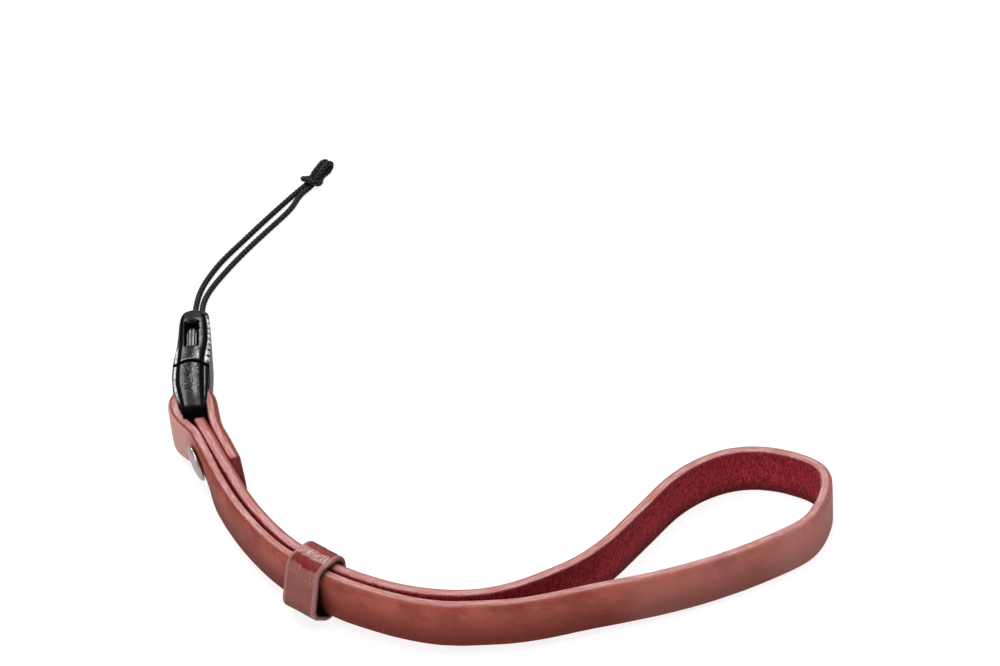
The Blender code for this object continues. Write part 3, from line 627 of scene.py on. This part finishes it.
def keeper_leather():
    """Thinner leather with painted highlights on the creases over the ring's top, deep red where it bends
    down, and paler rims; its inner face is painted near-black as shade.
    The section marks are the place along the strap, the way down from the top ridge and 1 on the outside."""
    side_light, side_dark, side_low = (0.32, 0.1, 0.084), (0.24, 0.066, 0.053), (0.15, 0.042, 0.032)
    crease_low, crease_painted_highlight, crease_side = (0.25, 0.06, 0.052), (0.62, 0.39, 0.37), (0.5, 0.27, 0.25)
    red_dark, red_light = (0.15, 0.008, 0.003), (0.26, 0.03, 0.018)
    far_red, far_dark = (0.26, 0.038, 0.036), (0.11, 0.03, 0.02)
    # The inside colour is the ring's inner face, painted near-black as shade in the gap round the strap.
    rim, inside = (0.42, 0.2, 0.185), (0.02, 0.004, 0.003)
    t = Tree("keeper_leather_detail")
    section, (along, down, outside) = t.section_marks()
    here = t.stretched()
    mottle = t.noise(here, 0.3, 3.0, 0.6)
    fine = t.noise(here, 3.2, 3.0, 0.6)
    side = t.mix(t.ramp(mottle, 0.3, 0.75, 0.0, 0.6), side_light, side_dark)
    side = t.mix(t.ramp(down, 7.0, 11.0), side, side_low)
    creases = t.noise(t.stretched((2.6, 0.8, 0.0), section), 1.0, 5.0, 0.75, 0.6)
    # Painted highlight: the creases over the top are mixed towards a whitish tone.
    painted_highlight = t.mix(t.ramp(creases, 0.4, 0.6), crease_low, crease_painted_highlight)
    wander = t.plus(down, t.times(t.minus(mottle, 0.5), 3.0))
    red = t.mix(t.ramp(creases, 0.35, 0.7), red_dark, red_light)
    top = t.mix(t.ramp(wander, -2.1, -1.5), painted_highlight, red)
    top = t.mix(t.ramp(wander, -4.5, -3.9, 1.0, 0.0), top, far_red)
    top = t.mix(t.ramp(down, -6.2, -5.4, 1.0, 0.0), top, far_dark)
    below = t.mix(t.ramp(creases, 0.48, 0.66, 0.0, 0.75), side, crease_side)
    side = t.mix(t.ramp(wander, 1.6, 3.4), below, side)
    skin = t.mix(t.ramp(wander, 0.0, 0.7), top, side)
    from_rim = t.minus(KEEPER_LENGTH / 2, t.math("ABSOLUTE", along))
    skin = t.mix(t.ramp(from_rim, 0.55, 0.95, 0.7, 0.0), skin, rim)
    t.surface("Base Color", t.mix(outside, inside, skin))
    t.surface("Roughness", t.ramp(fine, 0.35, 0.75, 0.46, 0.64))
    t.surface("Specular IOR Level", 0.2)
    on_top = t.ramp(down, 0.2, 1.6, 1.0, 0.12)
    height = t.times(t.times(creases, on_top), 3.0)
    t.bump(t.plus(height, t.times(fine, 0.5)), 0.05)
    return t.made


def set_camera():
    """The photograph's own view: a long lens from the front, looking down 38.5 degrees."""
    data = bpy.data.cameras.new("camera")
    data.sensor_width, data.lens = 36.0, 126.0
    data.clip_start, data.clip_end = 0.01, 20.0
    camera = new_object("camera", data)
    place = Vector((3.28, -523.21, 453.98))
    forward = Vector((0.0, 0.78261, -0.62251)).normalized()
    up = Vector((0.09063, 0.61995, 0.77939)).normalized()
    right = forward.cross(up).normalized()
    turn = Matrix((right, right.cross(forward), -forward)).transposed()
    camera.matrix_world = Matrix.Translation(place * MM) @ turn.to_4x4()
    bpy.context.scene.camera = camera


def braided_tube(route):
    """A round braid of four threads each way, that pass over and under each other: its grid and its marks."""
    around, threads, turn_length = 36, 4, math.pi * CORD_DIAMETER * 1.15
    ways = tangents(route)
    run = run_lengths(route)
    side = np.zeros_like(route)
    side[0] = np.cross(ways[0], (0, 0, 1))
    side[0] /= np.linalg.norm(side[0])
    for i in range(1, len(route)):
        carried = side[i - 1] - ways[i] * (side[i - 1] @ ways[i])
        side[i] = carried / np.linalg.norm(carried)
    other = np.cross(ways, side)
    turns = np.arange(around) / around
    a = threads * turns + threads * run[:, None] / turn_length
    b = threads * turns - threads * run[:, None] / turn_length

    def height_of(own, other, sign):
        row = np.floor(own)
        rounded = np.sqrt(np.clip(1 - (2 * (own - row) - 1) ** 2, 0, 1))
        return 0.55 * rounded + 0.45 * sign * np.cos(math.pi * (other - 0.5 + row))

    tall_a, tall_b = height_of(a, b, 1), height_of(b, a, -1)
    tall = np.maximum(tall_a, tall_b)
    radius = CORD_DIAMETER / 2 * (0.82 + 0.27 * tall)
    angle = math.tau * turns
    spokes = np.cos(angle)[:, None] * side[:, None] + np.sin(angle)[:, None] * other[:, None]
    grid = route[:, None] + spokes * radius[..., None]
    across = np.where(tall_a > tall_b, a, b)
    return grid, stacked(across, tall, run[:, None])


def make_cord():
    route = rows_smoothed(cord_route(), CORD_STEP)
    cord = tube_object("cord_braided", braid_fibre(), braided_tube(route))
    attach(cord, "root")
    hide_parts("cord_loop")


def keeper_place():
    """The seam's place at the keeper's middle and the level way to its left."""
    return seam_at(run_lengths(rows_smoothed(seam_rows(), STEP))[-1] - KEEPER_AT)


def run_at_keeper(xy, run):
    """The run along the near layer at the keeper's middle."""
    place, left = keeper_place()
    near = np.linalg.norm(xy - (place - left * LAYER_PITCH / 2), axis=1)
    return run[np.argmin(np.where(run < run[-1] / 2, near, np.inf))]


def make_strip():
    """The strip's section carried along its route, with rounded cut ends and a slightly uneven skin."""
    rows = rows_smoothed(strip_route()[::3], 2 * STEP)
    xy, lean = rows[:, :2], rows[:, 2]
    run = run_lengths(xy)
    level = right_of(tangents(xy))
    centres = np.column_stack([xy, edge_height(xy[:, 0]) + STRAP_WIDTH / 2])
    sides = np.column_stack([level * np.cos(lean)[:, None], -np.sin(lean)])
    ups = np.column_stack([level * np.sin(lean)[:, None], np.cos(lean)])
    ways = np.cross(ups, sides)
    profile, zones = strip_profile()
    half = np.array([STRAP_THICKNESS / 2, STRAP_WIDTH / 2])

    def ring(i, shift, inset):
        section = profile * np.clip(1 - inset / half, 0, 1)
        return centres[i] + ways[i] * shift + section[:, :1] * sides[i] + section[:, 1:] * ups[i]

    # The way in from the cut, and the inset, of the rings that round and close a cut end
    ends = ((0.16, 0.06), (0.03, 0.2), (0.0, 0.42), (0.02, 0.7), (0.0, 1.0))
    rings = [ring(0, shift, inset) for shift, inset in reversed(ends)]
    rings += [ring(i, 0.0, 0.0) for i in range(1, len(rows) - 1)]
    rings += [ring(len(rows) - 1, -shift, inset) for shift, inset in ends]
    grid = np.array(rings)
    runs = np.interp(np.linspace(0, 1, len(grid)), np.linspace(0, 1, len(run)), run)
    marks = stacked(runs[:, None], zones, profile[:, 1] / half[1])
    cut, calm = 3, 4
    marks[:cut, :, 1] = marks[-cut:, :, 1] = CUT_ZONE
    out = grid - grid.mean(1)[:, None]
    out /= np.linalg.norm(out, axis=2)[..., None]
    wave = 0.05 * rough(grid, 7.0, 1) + 0.025 * rough(grid, 1.6, 2)
    wave[:calm] *= 0.3
    wave[-calm:] *= 0.3
    grid = grid + out * wave[..., None]
    skin = strap_leather(run_at_keeper(xy, run))
    strip = tube_object("strip_leather", skin, (grid, marks))
    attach(strip, "root")
    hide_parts("leather_strap")


def corner_ways(corners):
    """Each corner of an anticlockwise outline, the ways back and ahead from it and half the angle there."""
    for i in range(len(corners)):
        before, corner, after = (Vector(corners[(i + j) % len(corners)]) for j in (-1, 0, 1))
        back, ahead = (before - corner).normalized(), (after - corner).normalized()
        yield corner, back, ahead, back.angle(ahead) / 2


def rounded_outline(corners, radius, steps):
    """The closed outline with an arc of this radius at each corner."""
    outline = []
    for corner, back, ahead, half in corner_ways(corners):
        centre = corner + (back + ahead).normalized() * (radius / math.sin(half))
        first, last = (corner + way * (radius / math.tan(half)) - centre for way in (back, ahead))
        for step in range(steps + 1):
            outline.append(tuple(centre + first.slerp(last, step / steps).normalized() * radius))
    return outline


def grown(corners, by):
    """The corners of the outline that lies this far outside."""
    for corner, back, ahead, half in corner_ways(corners):
        yield tuple(corner - (back + ahead).normalized() * (by / math.sin(half)))


def make_keeper():
    """The leather ring: a wall with rounded rims, carried round the two layers and creased over its top."""
    side, top = LAYER_GAP / 2 + STRAP_THICKNESS + KEEPER_SIDE_GAP, STRAP_WIDTH / 2 + SEAT_GAP
    inner = (
        (-side - KEEPER_SPLAY, -top + KEEPER_RISE),
        (-side + KEEPER_FOOT_IN, -top),
        (side, -top),
        (side, top),
        (-side + KEEPER_TOP_IN, top + KEEPER_CROWN),
    )
    lowest = -top - KEEPER_FOOT_WALL
    outer = [(x, max(y, lowest)) for x, y in grown(inner, KEEPER_WALL)]
    steps, spacing = 10, 0.3
    inside = np.array(rounded_outline(inner, KEEPER_CORNER, steps))
    outside = np.array(rounded_outline(outer, KEEPER_CORNER + KEEPER_WALL, steps))
    corners = np.stack([inside, outside])
    path = []
    for i in range(len(inside)):
        n = (i + 1) % len(inside)
        pieces = max(1, round(np.linalg.norm(outside[n] - outside[i]) / spacing))
        path += [corners[:, i] * (1 - share) + corners[:, n] * share for share in np.arange(pieces) / pieces]
    inside, outside = np.swapaxes(path, 0, 1)
    round_way = run_lengths(np.vstack([outside, outside[:1]]))
    ridge = round_way[np.argmin(np.linalg.norm(outside - np.array(outer[-1]), axis=1))]
    whole = round_way[-1]
    down = (round_way[:-1] - ridge + whole / 2) % whole - whole / 2
    # The wall's section, as the share of its thickness from the inside and the place along
    half, rim = KEEPER_LENGTH / 2, 0.38
    rounded = [(1 - (rim - y) / KEEPER_WALL, half - rim + x) for x, y in arc_points((0, 0), rim, 80, 0, 4)]
    rounded += [(0.16, half - 0.04), (0.05, half - 0.16)]
    section = [(1.0, w) for w in np.linspace(-half + rim, half - rim, 27)] + rounded
    section += [(0.0, w) for w in np.linspace(half - rim, -half + rim, 7)]
    section += [(share, -w) for share, w in reversed(rounded)]
    deep, wide = np.array(section).T
    flat = inside[:, None] * (1 - deep[:, None]) + outside[:, None] * deep[:, None]
    place, left = keeper_place()
    across, up = np.array((*left, 0.0)), np.array((0.0, 0.0, 1.0))
    along = np.cross(across, up)
    middle = np.array((*place, CLIP_MIDDLE_Z))
    grid = middle + flat[..., :1] * across + flat[..., 1:] * up + wide[:, None] * along
    out = (outside - inside) / np.linalg.norm(outside - inside, axis=1)[:, None]
    out = out[:, :1] * across + out[:, 1:] * up
    lines = stacked(wide, down[:, None] * 0.22, 0.0)
    on_top = 1 - between(down, 0.0, 1.6)
    crease = 0.1 * rough(lines, 0.5, 5) * on_top[:, None] + 0.05 * rough(grid, 3.0, 6)
    grid = grid + out[:, None] * (crease * deep)[..., None]
    marks = stacked(wide, down[:, None], (deep > 0.5) * 1.0)
    ring = tube_object("keeper_ring", keeper_leather(), (grid, marks), closed_along=True)
    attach(ring, "root")
    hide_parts("strap_keeper")


def turned(profile, place, axis):
    """Rings of points for a turned piece, from its rows of radius and place along the axis."""
    around = 56
    side = axis.orthogonal().normalized()
    other = axis.cross(side)
    angles = np.linspace(0, math.tau, around, endpoint=False)
    spokes = np.cos(angles)[:, None] * np.array(side) + np.sin(angles)[:, None] * np.array(other)
    profile = np.array(profile)
    centres = np.array(place) + profile[:, 1:] * np.array(axis)
    return centres[:, None] + profile[:, :1, None] * spokes


def make_rivet():
    """The domed cap on the near layer, the post through the three layers and the flat far cap."""
    near = -(LAYER_PITCH / 2 + STRAP_THICKNESS / 2 + CAP_GAP)
    far = TAB_ASIDE + STRAP_THICKNESS / 2 + 0.02
    cap, back, post = RIVET_CAP_DIAMETER / 2, FAR_CAP_DIAMETER / 2, RIVET_POST_DIAMETER / 2
    tall, centre = RIVET_CAP_HEIGHT, 0.02
    # The dome as shares of the cap's radius and height
    dome_rows = ((0.4, 0.965), (0.72, 0.8), (0.9, 0.6), (0.985, 0.36), (1.0, 0.16))
    dome = [(centre, near - tall), *((out * cap, near - high * tall) for out, high in dome_rows)]
    under = [(0.97 * cap, near - 0.04), (0.9 * cap, near), (post + 0.1, near + 0.02), (post, near + 0.1)]
    shank = [(post, far - 0.1), (post + 0.1, far), (0.93 * back, far), (back, far + 0.06)]
    end_rows = ((0.97, 0.14), (0.86, 0.2), (0.5, 0.23))
    end = [*((out * back, far + high) for out, high in end_rows), (centre, far + 0.24)]
    profile = [*rows_smoothed(dome, 0.12), *under, *shank, *end]
    rivet = tube_object("rivet_turned", rivet_metal(), (turned(profile, *rivet_place()), None))
    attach(rivet, "root")
    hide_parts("rivet")


def side_lines(rows, start, end):
    """The left and right reach of a clip piece at any place along it."""
    half, lines = CLIP_THICKNESS / 2, []
    for column, sign in ((1, -1), (2, 1)):
        points = [(sign * row[column] * half, start + row[0] * (end - start)) for row in rows]
        line = rows_smoothed(points, CLIP_STEP)
        line = line[np.argsort(line[:, 1])]
        lines.append(lambda y, line=line: np.interp(y, line[:, 1], line[:, 0]))
    return lines


def bowed(x, y, near_seam):
    """The place along the clip, moved as the seam between its halves is bowed. near_seam is 1 at the seam."""
    across = np.clip(x / SEAM_BOW_HALF, -1, 1)
    return y + SEAM_BOW * near_seam * (1 - across**2 - 0.5 * across)


def wall_points(edge, wide, way, low, ledge, top, corner):
    """One side of a clip ring: up its wall, in over the ledge and up round the narrow face's corner.
    way is 1 on the right and -1 on the left."""
    shoulder = min(0.38, (ledge - low) * 0.8)
    flat = wide - way * shoulder
    points = [(wide, z) for z in np.linspace(low, ledge - shoulder, 9)[:-1]]
    points += [(flat + way * x, z) for x, z in arc_points((0, ledge - shoulder), shoulder, 0, 90, 5)]
    points += [(x, ledge) for x in np.linspace(flat, edge + way * 0.1, 5)[1:]]
    points = [(way * max(way * x, way * edge + 0.02), z) for x, z in points]
    points = [(x, z - 0.16 * max(way * (x - edge), 0)) for x, z in points]
    points += [(edge + way * 0.02, ledge + 0.03), (edge, ledge + 0.12)]
    turn = arc_points((0, top - corner), corner, 0, 90, 7)
    return points + [(edge - way * corner + way * x, z) for x, z in turn]


def clip_rings(places, tops, sides, low, crown, drop, relief, grain, dark, painted_highlight, near_seam):
    """Half a clip piece's rings, from low on its right side, over its narrow face and down its left side.
    crown, drop, grain and near_seam are functions of the place along, the others also of that across."""
    rings, marks = [], []
    for y in places:
        left, right = (line(y) for line in tops)
        wide_left, wide_right = min(sides[0](y), left - 0.03), max(sides[1](y), right + 0.03)
        top = CLIP_TOP - drop(y) - crown(y)
        ledge = max(min(CLIP_SIDE_TOP, top - 0.12), low + 0.05)
        top = max(top, ledge + 0.1)
        corner = min(0.62, top - ledge - 0.04)
        right_wall = wall_points(right, wide_right, 1, low, ledge, top, corner)
        left_wall = wall_points(left, wide_left, -1, low, ledge, top, corner)
        inner = np.linspace(right - corner, left + corner, 64)[1:-1]
        centre, reach = (right + left) / 2, max((right - left) / 2 - corner, 0.05)
        u = (inner - centre) / reach
        carved = relief(inner, y)
        x, z = np.array([*right_wall, *zip(inner, top + crown(y) * (1 - u**2) + carved), *left_wall[::-1]]).T
        grained = np.zeros(len(x))
        on_top = slice(len(right_wall), len(right_wall) + len(inner))
        grained[on_top] = grain(y) * (1 - between(np.abs(u), 0.66, 0.86)) * (carved > -0.2)
        from_centre = np.abs(x - centre) / ((right - left) / 2)
        # Painted shade: a dark band down both sides of the narrow face, where it rounds over towards the
        # ledges.
        band = within(from_centre, 0.66, 0.78, 0.985, 1.0)
        in_dark = np.maximum(dark(x, y), 0.88 * band * (1 - between(y, 25.2, 26.2)))
        beyond = np.maximum(left - x, x - right)
        rings.append(np.column_stack([x, bowed(x, y, near_seam(y)), z]))
        marks.append(np.column_stack([grained, in_dark, painted_highlight(x, y, z, beyond)]))
    return np.array(rings), np.array(marks)


def in_world(points):
    """From the clip's own place to the model's, with its slant."""
    hub = seam_at(0.0, BAR_OFFSET)[0]
    x, y, z = np.moveaxis(points, -1, 0)
    return stacked(hub[0] + (x + CLIP_SLANT * z), hub[1] + y, CLIP_MIDDLE_Z + z)


def round_end(y, end, radius):
    """How much lower the narrow face is where it rounds down to the piece's end."""
    near = np.clip(radius - abs(end - y), 0, radius)
    return radius - math.sqrt(radius**2 - near**2)


def tongue_ribs(x):
    """The ribs on the latch tongue, from 0 between two of them to 1."""
    return 0.5 + 0.5 * np.cos(math.tau * (x - WINDOW_ASIDE - RIB_SHIFT) / RIB_PITCH)


def notches_at(y):
    """The fine notches down the clip's right side, from -1 between two of them to 1."""
    return math.cos(math.tau * y / NOTCH_PITCH)


def socket_relief(x, y):
    """The window in the socket's narrow face, with the ribbed latch tongue standing in it."""
    middle, half = (WINDOW_START + WINDOW_END) / 2, (WINDOW_END - WINDOW_START) / 2
    corner, soft, depth, height = 0.45, 0.07, 2.6, 1.75
    from_middle = np.abs(x - WINDOW_ASIDE)
    out_x = np.maximum(from_middle - WINDOW_WIDTH / 2 + corner, 0)
    out_y = max(abs(y - middle) - half + corner, 0)
    window = 1 - between(np.hypot(out_x, out_y) - corner, -soft, soft)
    tip = 22.7 - 1.5 * eased(from_middle / 1.15)
    tongue = (1 - between(from_middle, 1.06, 1.2)) * (1 - between(y, tip - 0.15, tip + 0.05))
    ribbed = tongue_ribs(x) * between(y, 15.4, 16.2) * (1 - between(y, 19.8, 20.8))
    raised = height - 0.22 * from_middle**2 + 0.2 * ribbed - 0.5 * between(y, 20.6, 22.6)
    return window * (tongue * raised - depth)


def socket_shade(x, y):
    """How dark the socket lies: in the window, at the seam and, half dark, behind the cord's holes."""
    deep = 1 - between(socket_relief(x, y), -2.3, -1.4)
    seam = 1 - between(y, SOCKET_START + 0.15, SOCKET_START + 0.42)
    behind = 0.4 * within(y, 23.6, 24.6, 26.2, 26.9)
    return np.maximum(deep, max(seam, behind))


def on_left_ledge(x, z, beyond):
    """1 on the strip of the left ledge next to the narrow face."""
    return (x < 0) * (z > CLIP_SIDE_TOP - 0.4) * within(beyond, 0.0, 0.1, 0.42, 0.55)


def socket_painted_highlights(x, y, z, beyond):
    """Painted highlights on the socket: on the tongue's ribs, in a streak and a thin rim above the seam, and
    on the ledges.
    """
    from_middle = np.abs(x - WINDOW_ASIDE)
    ribs = tongue_ribs(x) ** 2 * (1 - between(from_middle, 0.9, 1.0))
    ribs = ribs * within(y, 15.2, 16.2, 21.0, 22.4)
    notches = between(notches_at(y), 0.2, 0.7) * between(beyond, 0.35, 0.5)
    right = (x > 0) * (z > CLIP_SIDE_TOP - 0.5) * between(beyond, 0.05, 0.15) * (1 - notches)
    right = right * within(y, 9.9, 10.6, 24.6, 25.6)
    left = on_left_ledge(x, z, beyond) * (1 - between(y, 13.5, 16.0))
    streak = within(x, 0.45, 0.85, 1.0, 1.2) * within(y, 10.1, 10.8, 12.2, 14.0)
    rim = within(x, -3.0, -2.6, -0.6, 0.4) * within(y - SOCKET_START, 0.36, 0.46, 0.56, 0.7)
    return 0.8 * ribs + 0.85 * right + left + (0.9 * streak + 0.7 * rim) * (z > CLIP_SIDE_TOP)


def plug_shade(x, y):
    """How dark the plug lies: at the seam, at the rails' ends and on its right."""
    ends = max(between(y, PLUG_END - 0.45, PLUG_END - 0.15), 1 - between(y, -4.8, -3.4))
    low = (1 - between(y, -2.0, 0.5)) * between(x, -1.3, -0.9) * 0.3
    return np.maximum(np.maximum(low, ends), 0.72 * between(x, 2.3, 2.6))


def clip_socket(plastic):
    """The cord's half of the clip."""
    end_round = 1.2
    tops, sides = (side_lines(rows, SOCKET_START, SOCKET_END) for rows in (SOCKET_ROWS, SOCKET_SIDE_ROWS))
    turn = np.linspace(0, math.pi / 2, 14)
    places = [SOCKET_START, SOCKET_START + 0.04]
    places += [*np.arange(SOCKET_START + CLIP_STEP, SOCKET_END - end_round, CLIP_STEP)]
    places += [*(SOCKET_END - end_round * (1 - np.sin(turn)))]

    def notched(y):
        in_range = within(y, 10.4, 10.8, 24.6, 25.2)
        return sides[1](y) - 0.32 * in_range * between(notches_at(y), 0.35, 0.8)

    rings, marks = clip_rings(
        places,
        tops,
        (sides[0], notched),
        low=0.0,
        crown=lambda y: 0.34 + 0.16 * (1 - between(y, 13.6, 15.0)),
        drop=lambda y: round_end(y, SOCKET_END, end_round) + round_end(y, SOCKET_START, SEAM_ROUND),
        relief=socket_relief,
        grain=lambda y: 1 - between(y, 23.0, 24.0),
        dark=socket_shade,
        painted_highlight=socket_painted_highlights,
        near_seam=lambda y: 1 - between(y, SOCKET_START, SOCKET_START + SEAM_BOW_FADES),
    )
    # The lower half mirrors the upper one
    rings = np.concatenate([rings, rings[:, -2:0:-1] * (1, 1, -1)], 1)
    marks = np.concatenate([marks, marks[:, -2:0:-1]], 1)
    return tube_object("clip_socket_moulded", plastic, (in_world(rings), marks))


def near_plug_seam(y):
    return between(y, PLUG_END - SEAM_BOW_FADES, PLUG_END)


def bowed_outline(outline, y):
    """An outline across the clip, just short of a place along it and bowed as the seam is."""
    return [(x, bowed(x, y, near_plug_seam(y)) - 0.05, z) for x, z in outline]


def plug_body(sides):
    """The block behind the fold's pocket, between the narrow faces."""
    tall, rings = 5.4, []
    for y in np.arange(FOLD_POCKET_END, PLUG_END + 0.01, 0.2):
        left, right = (line(y) for line in sides)
        outline = [(right, -tall), (right, 0.0), (right, tall), (0.0, tall)]
        outline += [(left, tall), (left, 0.0), (left, -tall), (0.0, -tall)]
        rings.append(bowed_outline(outline, y))
    return in_world(np.array(rings))


def seam_groove(tops, sides):
    """A filling between the clip's halves, set back from their walls and painted dark all over as the seam's
    shade.
    """
    low, high, deep = CLIP_SIDE_TOP - 0.7, CLIP_TOP - 0.8, 0.45
    walls = ((sides[0], 1), (tops[0], 1), (tops[1], -1), (sides[1], -1))
    far_left, left, right, far_right = (line(PLUG_END) + way * deep for line, way in walls)
    upper = [(far_right, 0.0), (far_right, low), (right, low), (right, high), (0.0, high)]
    upper += [(left, high), (left, low), (far_left, low), (far_left, 0.0)]
    outline = upper + [(x, -z) for x, z in upper[-2:0:-1]]
    return in_world(np.array([bowed_outline(outline, y) for y in (PLUG_END - 0.1, SOCKET_START + 0.03)]))


def clip_plug(plastic):
    """The strap's half of the clip: two rails, the block behind the fold, the bar and the seam's groove."""
    end_round, bar_reach = 1.5, 5.7
    tops, sides = (side_lines(rows, PLUG_END, -RAIL_TAIL) for rows in (PLUG_ROWS, PLUG_SIDE_ROWS))
    turn = np.linspace(0.1, math.pi / 2, 14)
    places = [-RAIL_TAIL, *(-RAIL_TAIL + (end_round - CLIP_STEP) * (1 - np.cos(turn)))]
    places += [*np.arange(-RAIL_TAIL + end_round, PLUG_END - CLIP_STEP, CLIP_STEP), PLUG_END - 0.04, PLUG_END]
    rail, marks = clip_rings(
        places,
        tops,
        sides,
        low=RAIL_INSIDE,
        crown=lambda y: 0.28 + 0.24 * between(y, -5.0, 3.0),
        drop=lambda y: round_end(y, -RAIL_TAIL, end_round) + round_end(y, PLUG_END, SEAM_ROUND),
        relief=lambda x, y: x * 0.0,
        grain=lambda y: between(y, -1.5, 1.5),
        dark=plug_shade,
        # A painted highlight on the plug's left ledge.
        painted_highlight=lambda x, y, z, beyond: on_left_ledge(x, z, beyond) * between(y, -3.0, -1.0),
        near_seam=near_plug_seam,
    )
    body, groove = plug_body(sides), seam_groove(tops, sides)
    bar_middle = Vector((*seam_at(0.0, BAR_OFFSET)[0], CLIP_MIDDLE_Z))
    bar = turned([(BAR_DIAMETER / 2, z) for z in (-bar_reach, bar_reach)], bar_middle, Vector((0, 0, 1)))
    rails = (in_world(rail), marks), (in_world(rail * (1, 1, -1)), marks)
    # The groove's marks paint it wholly dark, as shade in the seam.
    plain = (body, 0.0), (bar, 0.0), (groove, (0, 1, 0))
    return tube_object("clip_plug_moulded", plastic, *rails, *plain)


def make_clip():
    plastic = black_plastic()
    for piece, node in ((clip_socket(plastic), "clip_socket"), (clip_plug(plastic), "clip_plug")):
        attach(piece, "root")
        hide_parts(node)


def stage_floor():
    """A glowing white table, so that the shadows stay faint. It shows darker in reflections."""
    reach, below = 3.0, 0.00005
    corners = [(x * reach, y * reach, -below) for x, y in ((-1, -1), (1, -1), (1, 1), (-1, 1))]
    mesh = bpy.data.meshes.new("floor")
    mesh.from_pydata(corners, [], [(0, 1, 2, 3)])
    t = Tree("floor_pale")
    glossy = t.add("ShaderNodeLightPath").outputs["Is Glossy Ray"]
    grey = t.minus(0.3, t.times(glossy, 0.22))
    t.surface("Base Color", t.add("ShaderNodeCombineColor", {i: grey for i in range(3)}).outputs[0])
    t.surface("Roughness", 0.9)
    t.surface("Specular IOR Level", 0.0)
    t.surface("Emission Color", 1.0)
    t.surface("Emission Strength", t.minus(0.82, t.times(glossy, 0.3)))
    mesh.materials.append(t.made)
    new_object("floor", mesh)


def area_light(name, place, aim, size, power):
    """A white lamp. Its place, aim and size are in metres."""
    data = bpy.data.lights.new(name, "AREA")
    data.shape, data.size, data.size_y = "RECTANGLE", *size
    data.energy = power
    lamp = new_object(name, data)
    lamp.location = place
    lamp.rotation_euler = (Vector(aim) - Vector(place)).to_track_quat("-Z", "Y").to_euler()


def set_lights():
    """A sky that is brighter overhead, a broad top light, one from the left, and two narrow ones behind."""
    scene = bpy.context.scene
    scene.view_settings.view_transform = "Standard"
    t = Tree("studio", "worlds", "Background")
    up = t.add("ShaderNodeSeparateXYZ", {"Vector": t.places["Generated"]}).outputs["Z"]
    strength = {"Value": up, "From Min": 0.1, "From Max": 0.75, "To Min": 0.05, "To Max": 0.42}
    t.surface("Strength", t.add("ShaderNodeMapRange", strength).outputs[0])
    t.surface("Color", 1.0)
    scene.world = t.made
    area_light("top_soft", (0.0, 0.1, 1.2), (0.0, 0.03, 0.0), (1.0, 0.8), 9.0)
    area_light("left_soft", (-0.9, -0.45, 0.6), (-0.05, 0.0, 0.0), (0.5, 0.5), 2.6)
    area_light("back_right", (0.08, 1.15, 0.86), (-0.02, 0.03, 0.0), (0.12, 0.4), 4.2)
    area_light("back_left", (-0.62, 1.1, 0.74), (-0.05, 0.03, 0.0), (0.26, 0.4), 3.6)


set_camera()
make_cord()
make_strip()
make_keeper()
make_rivet()
make_clip()
stage_floor()
set_lights()
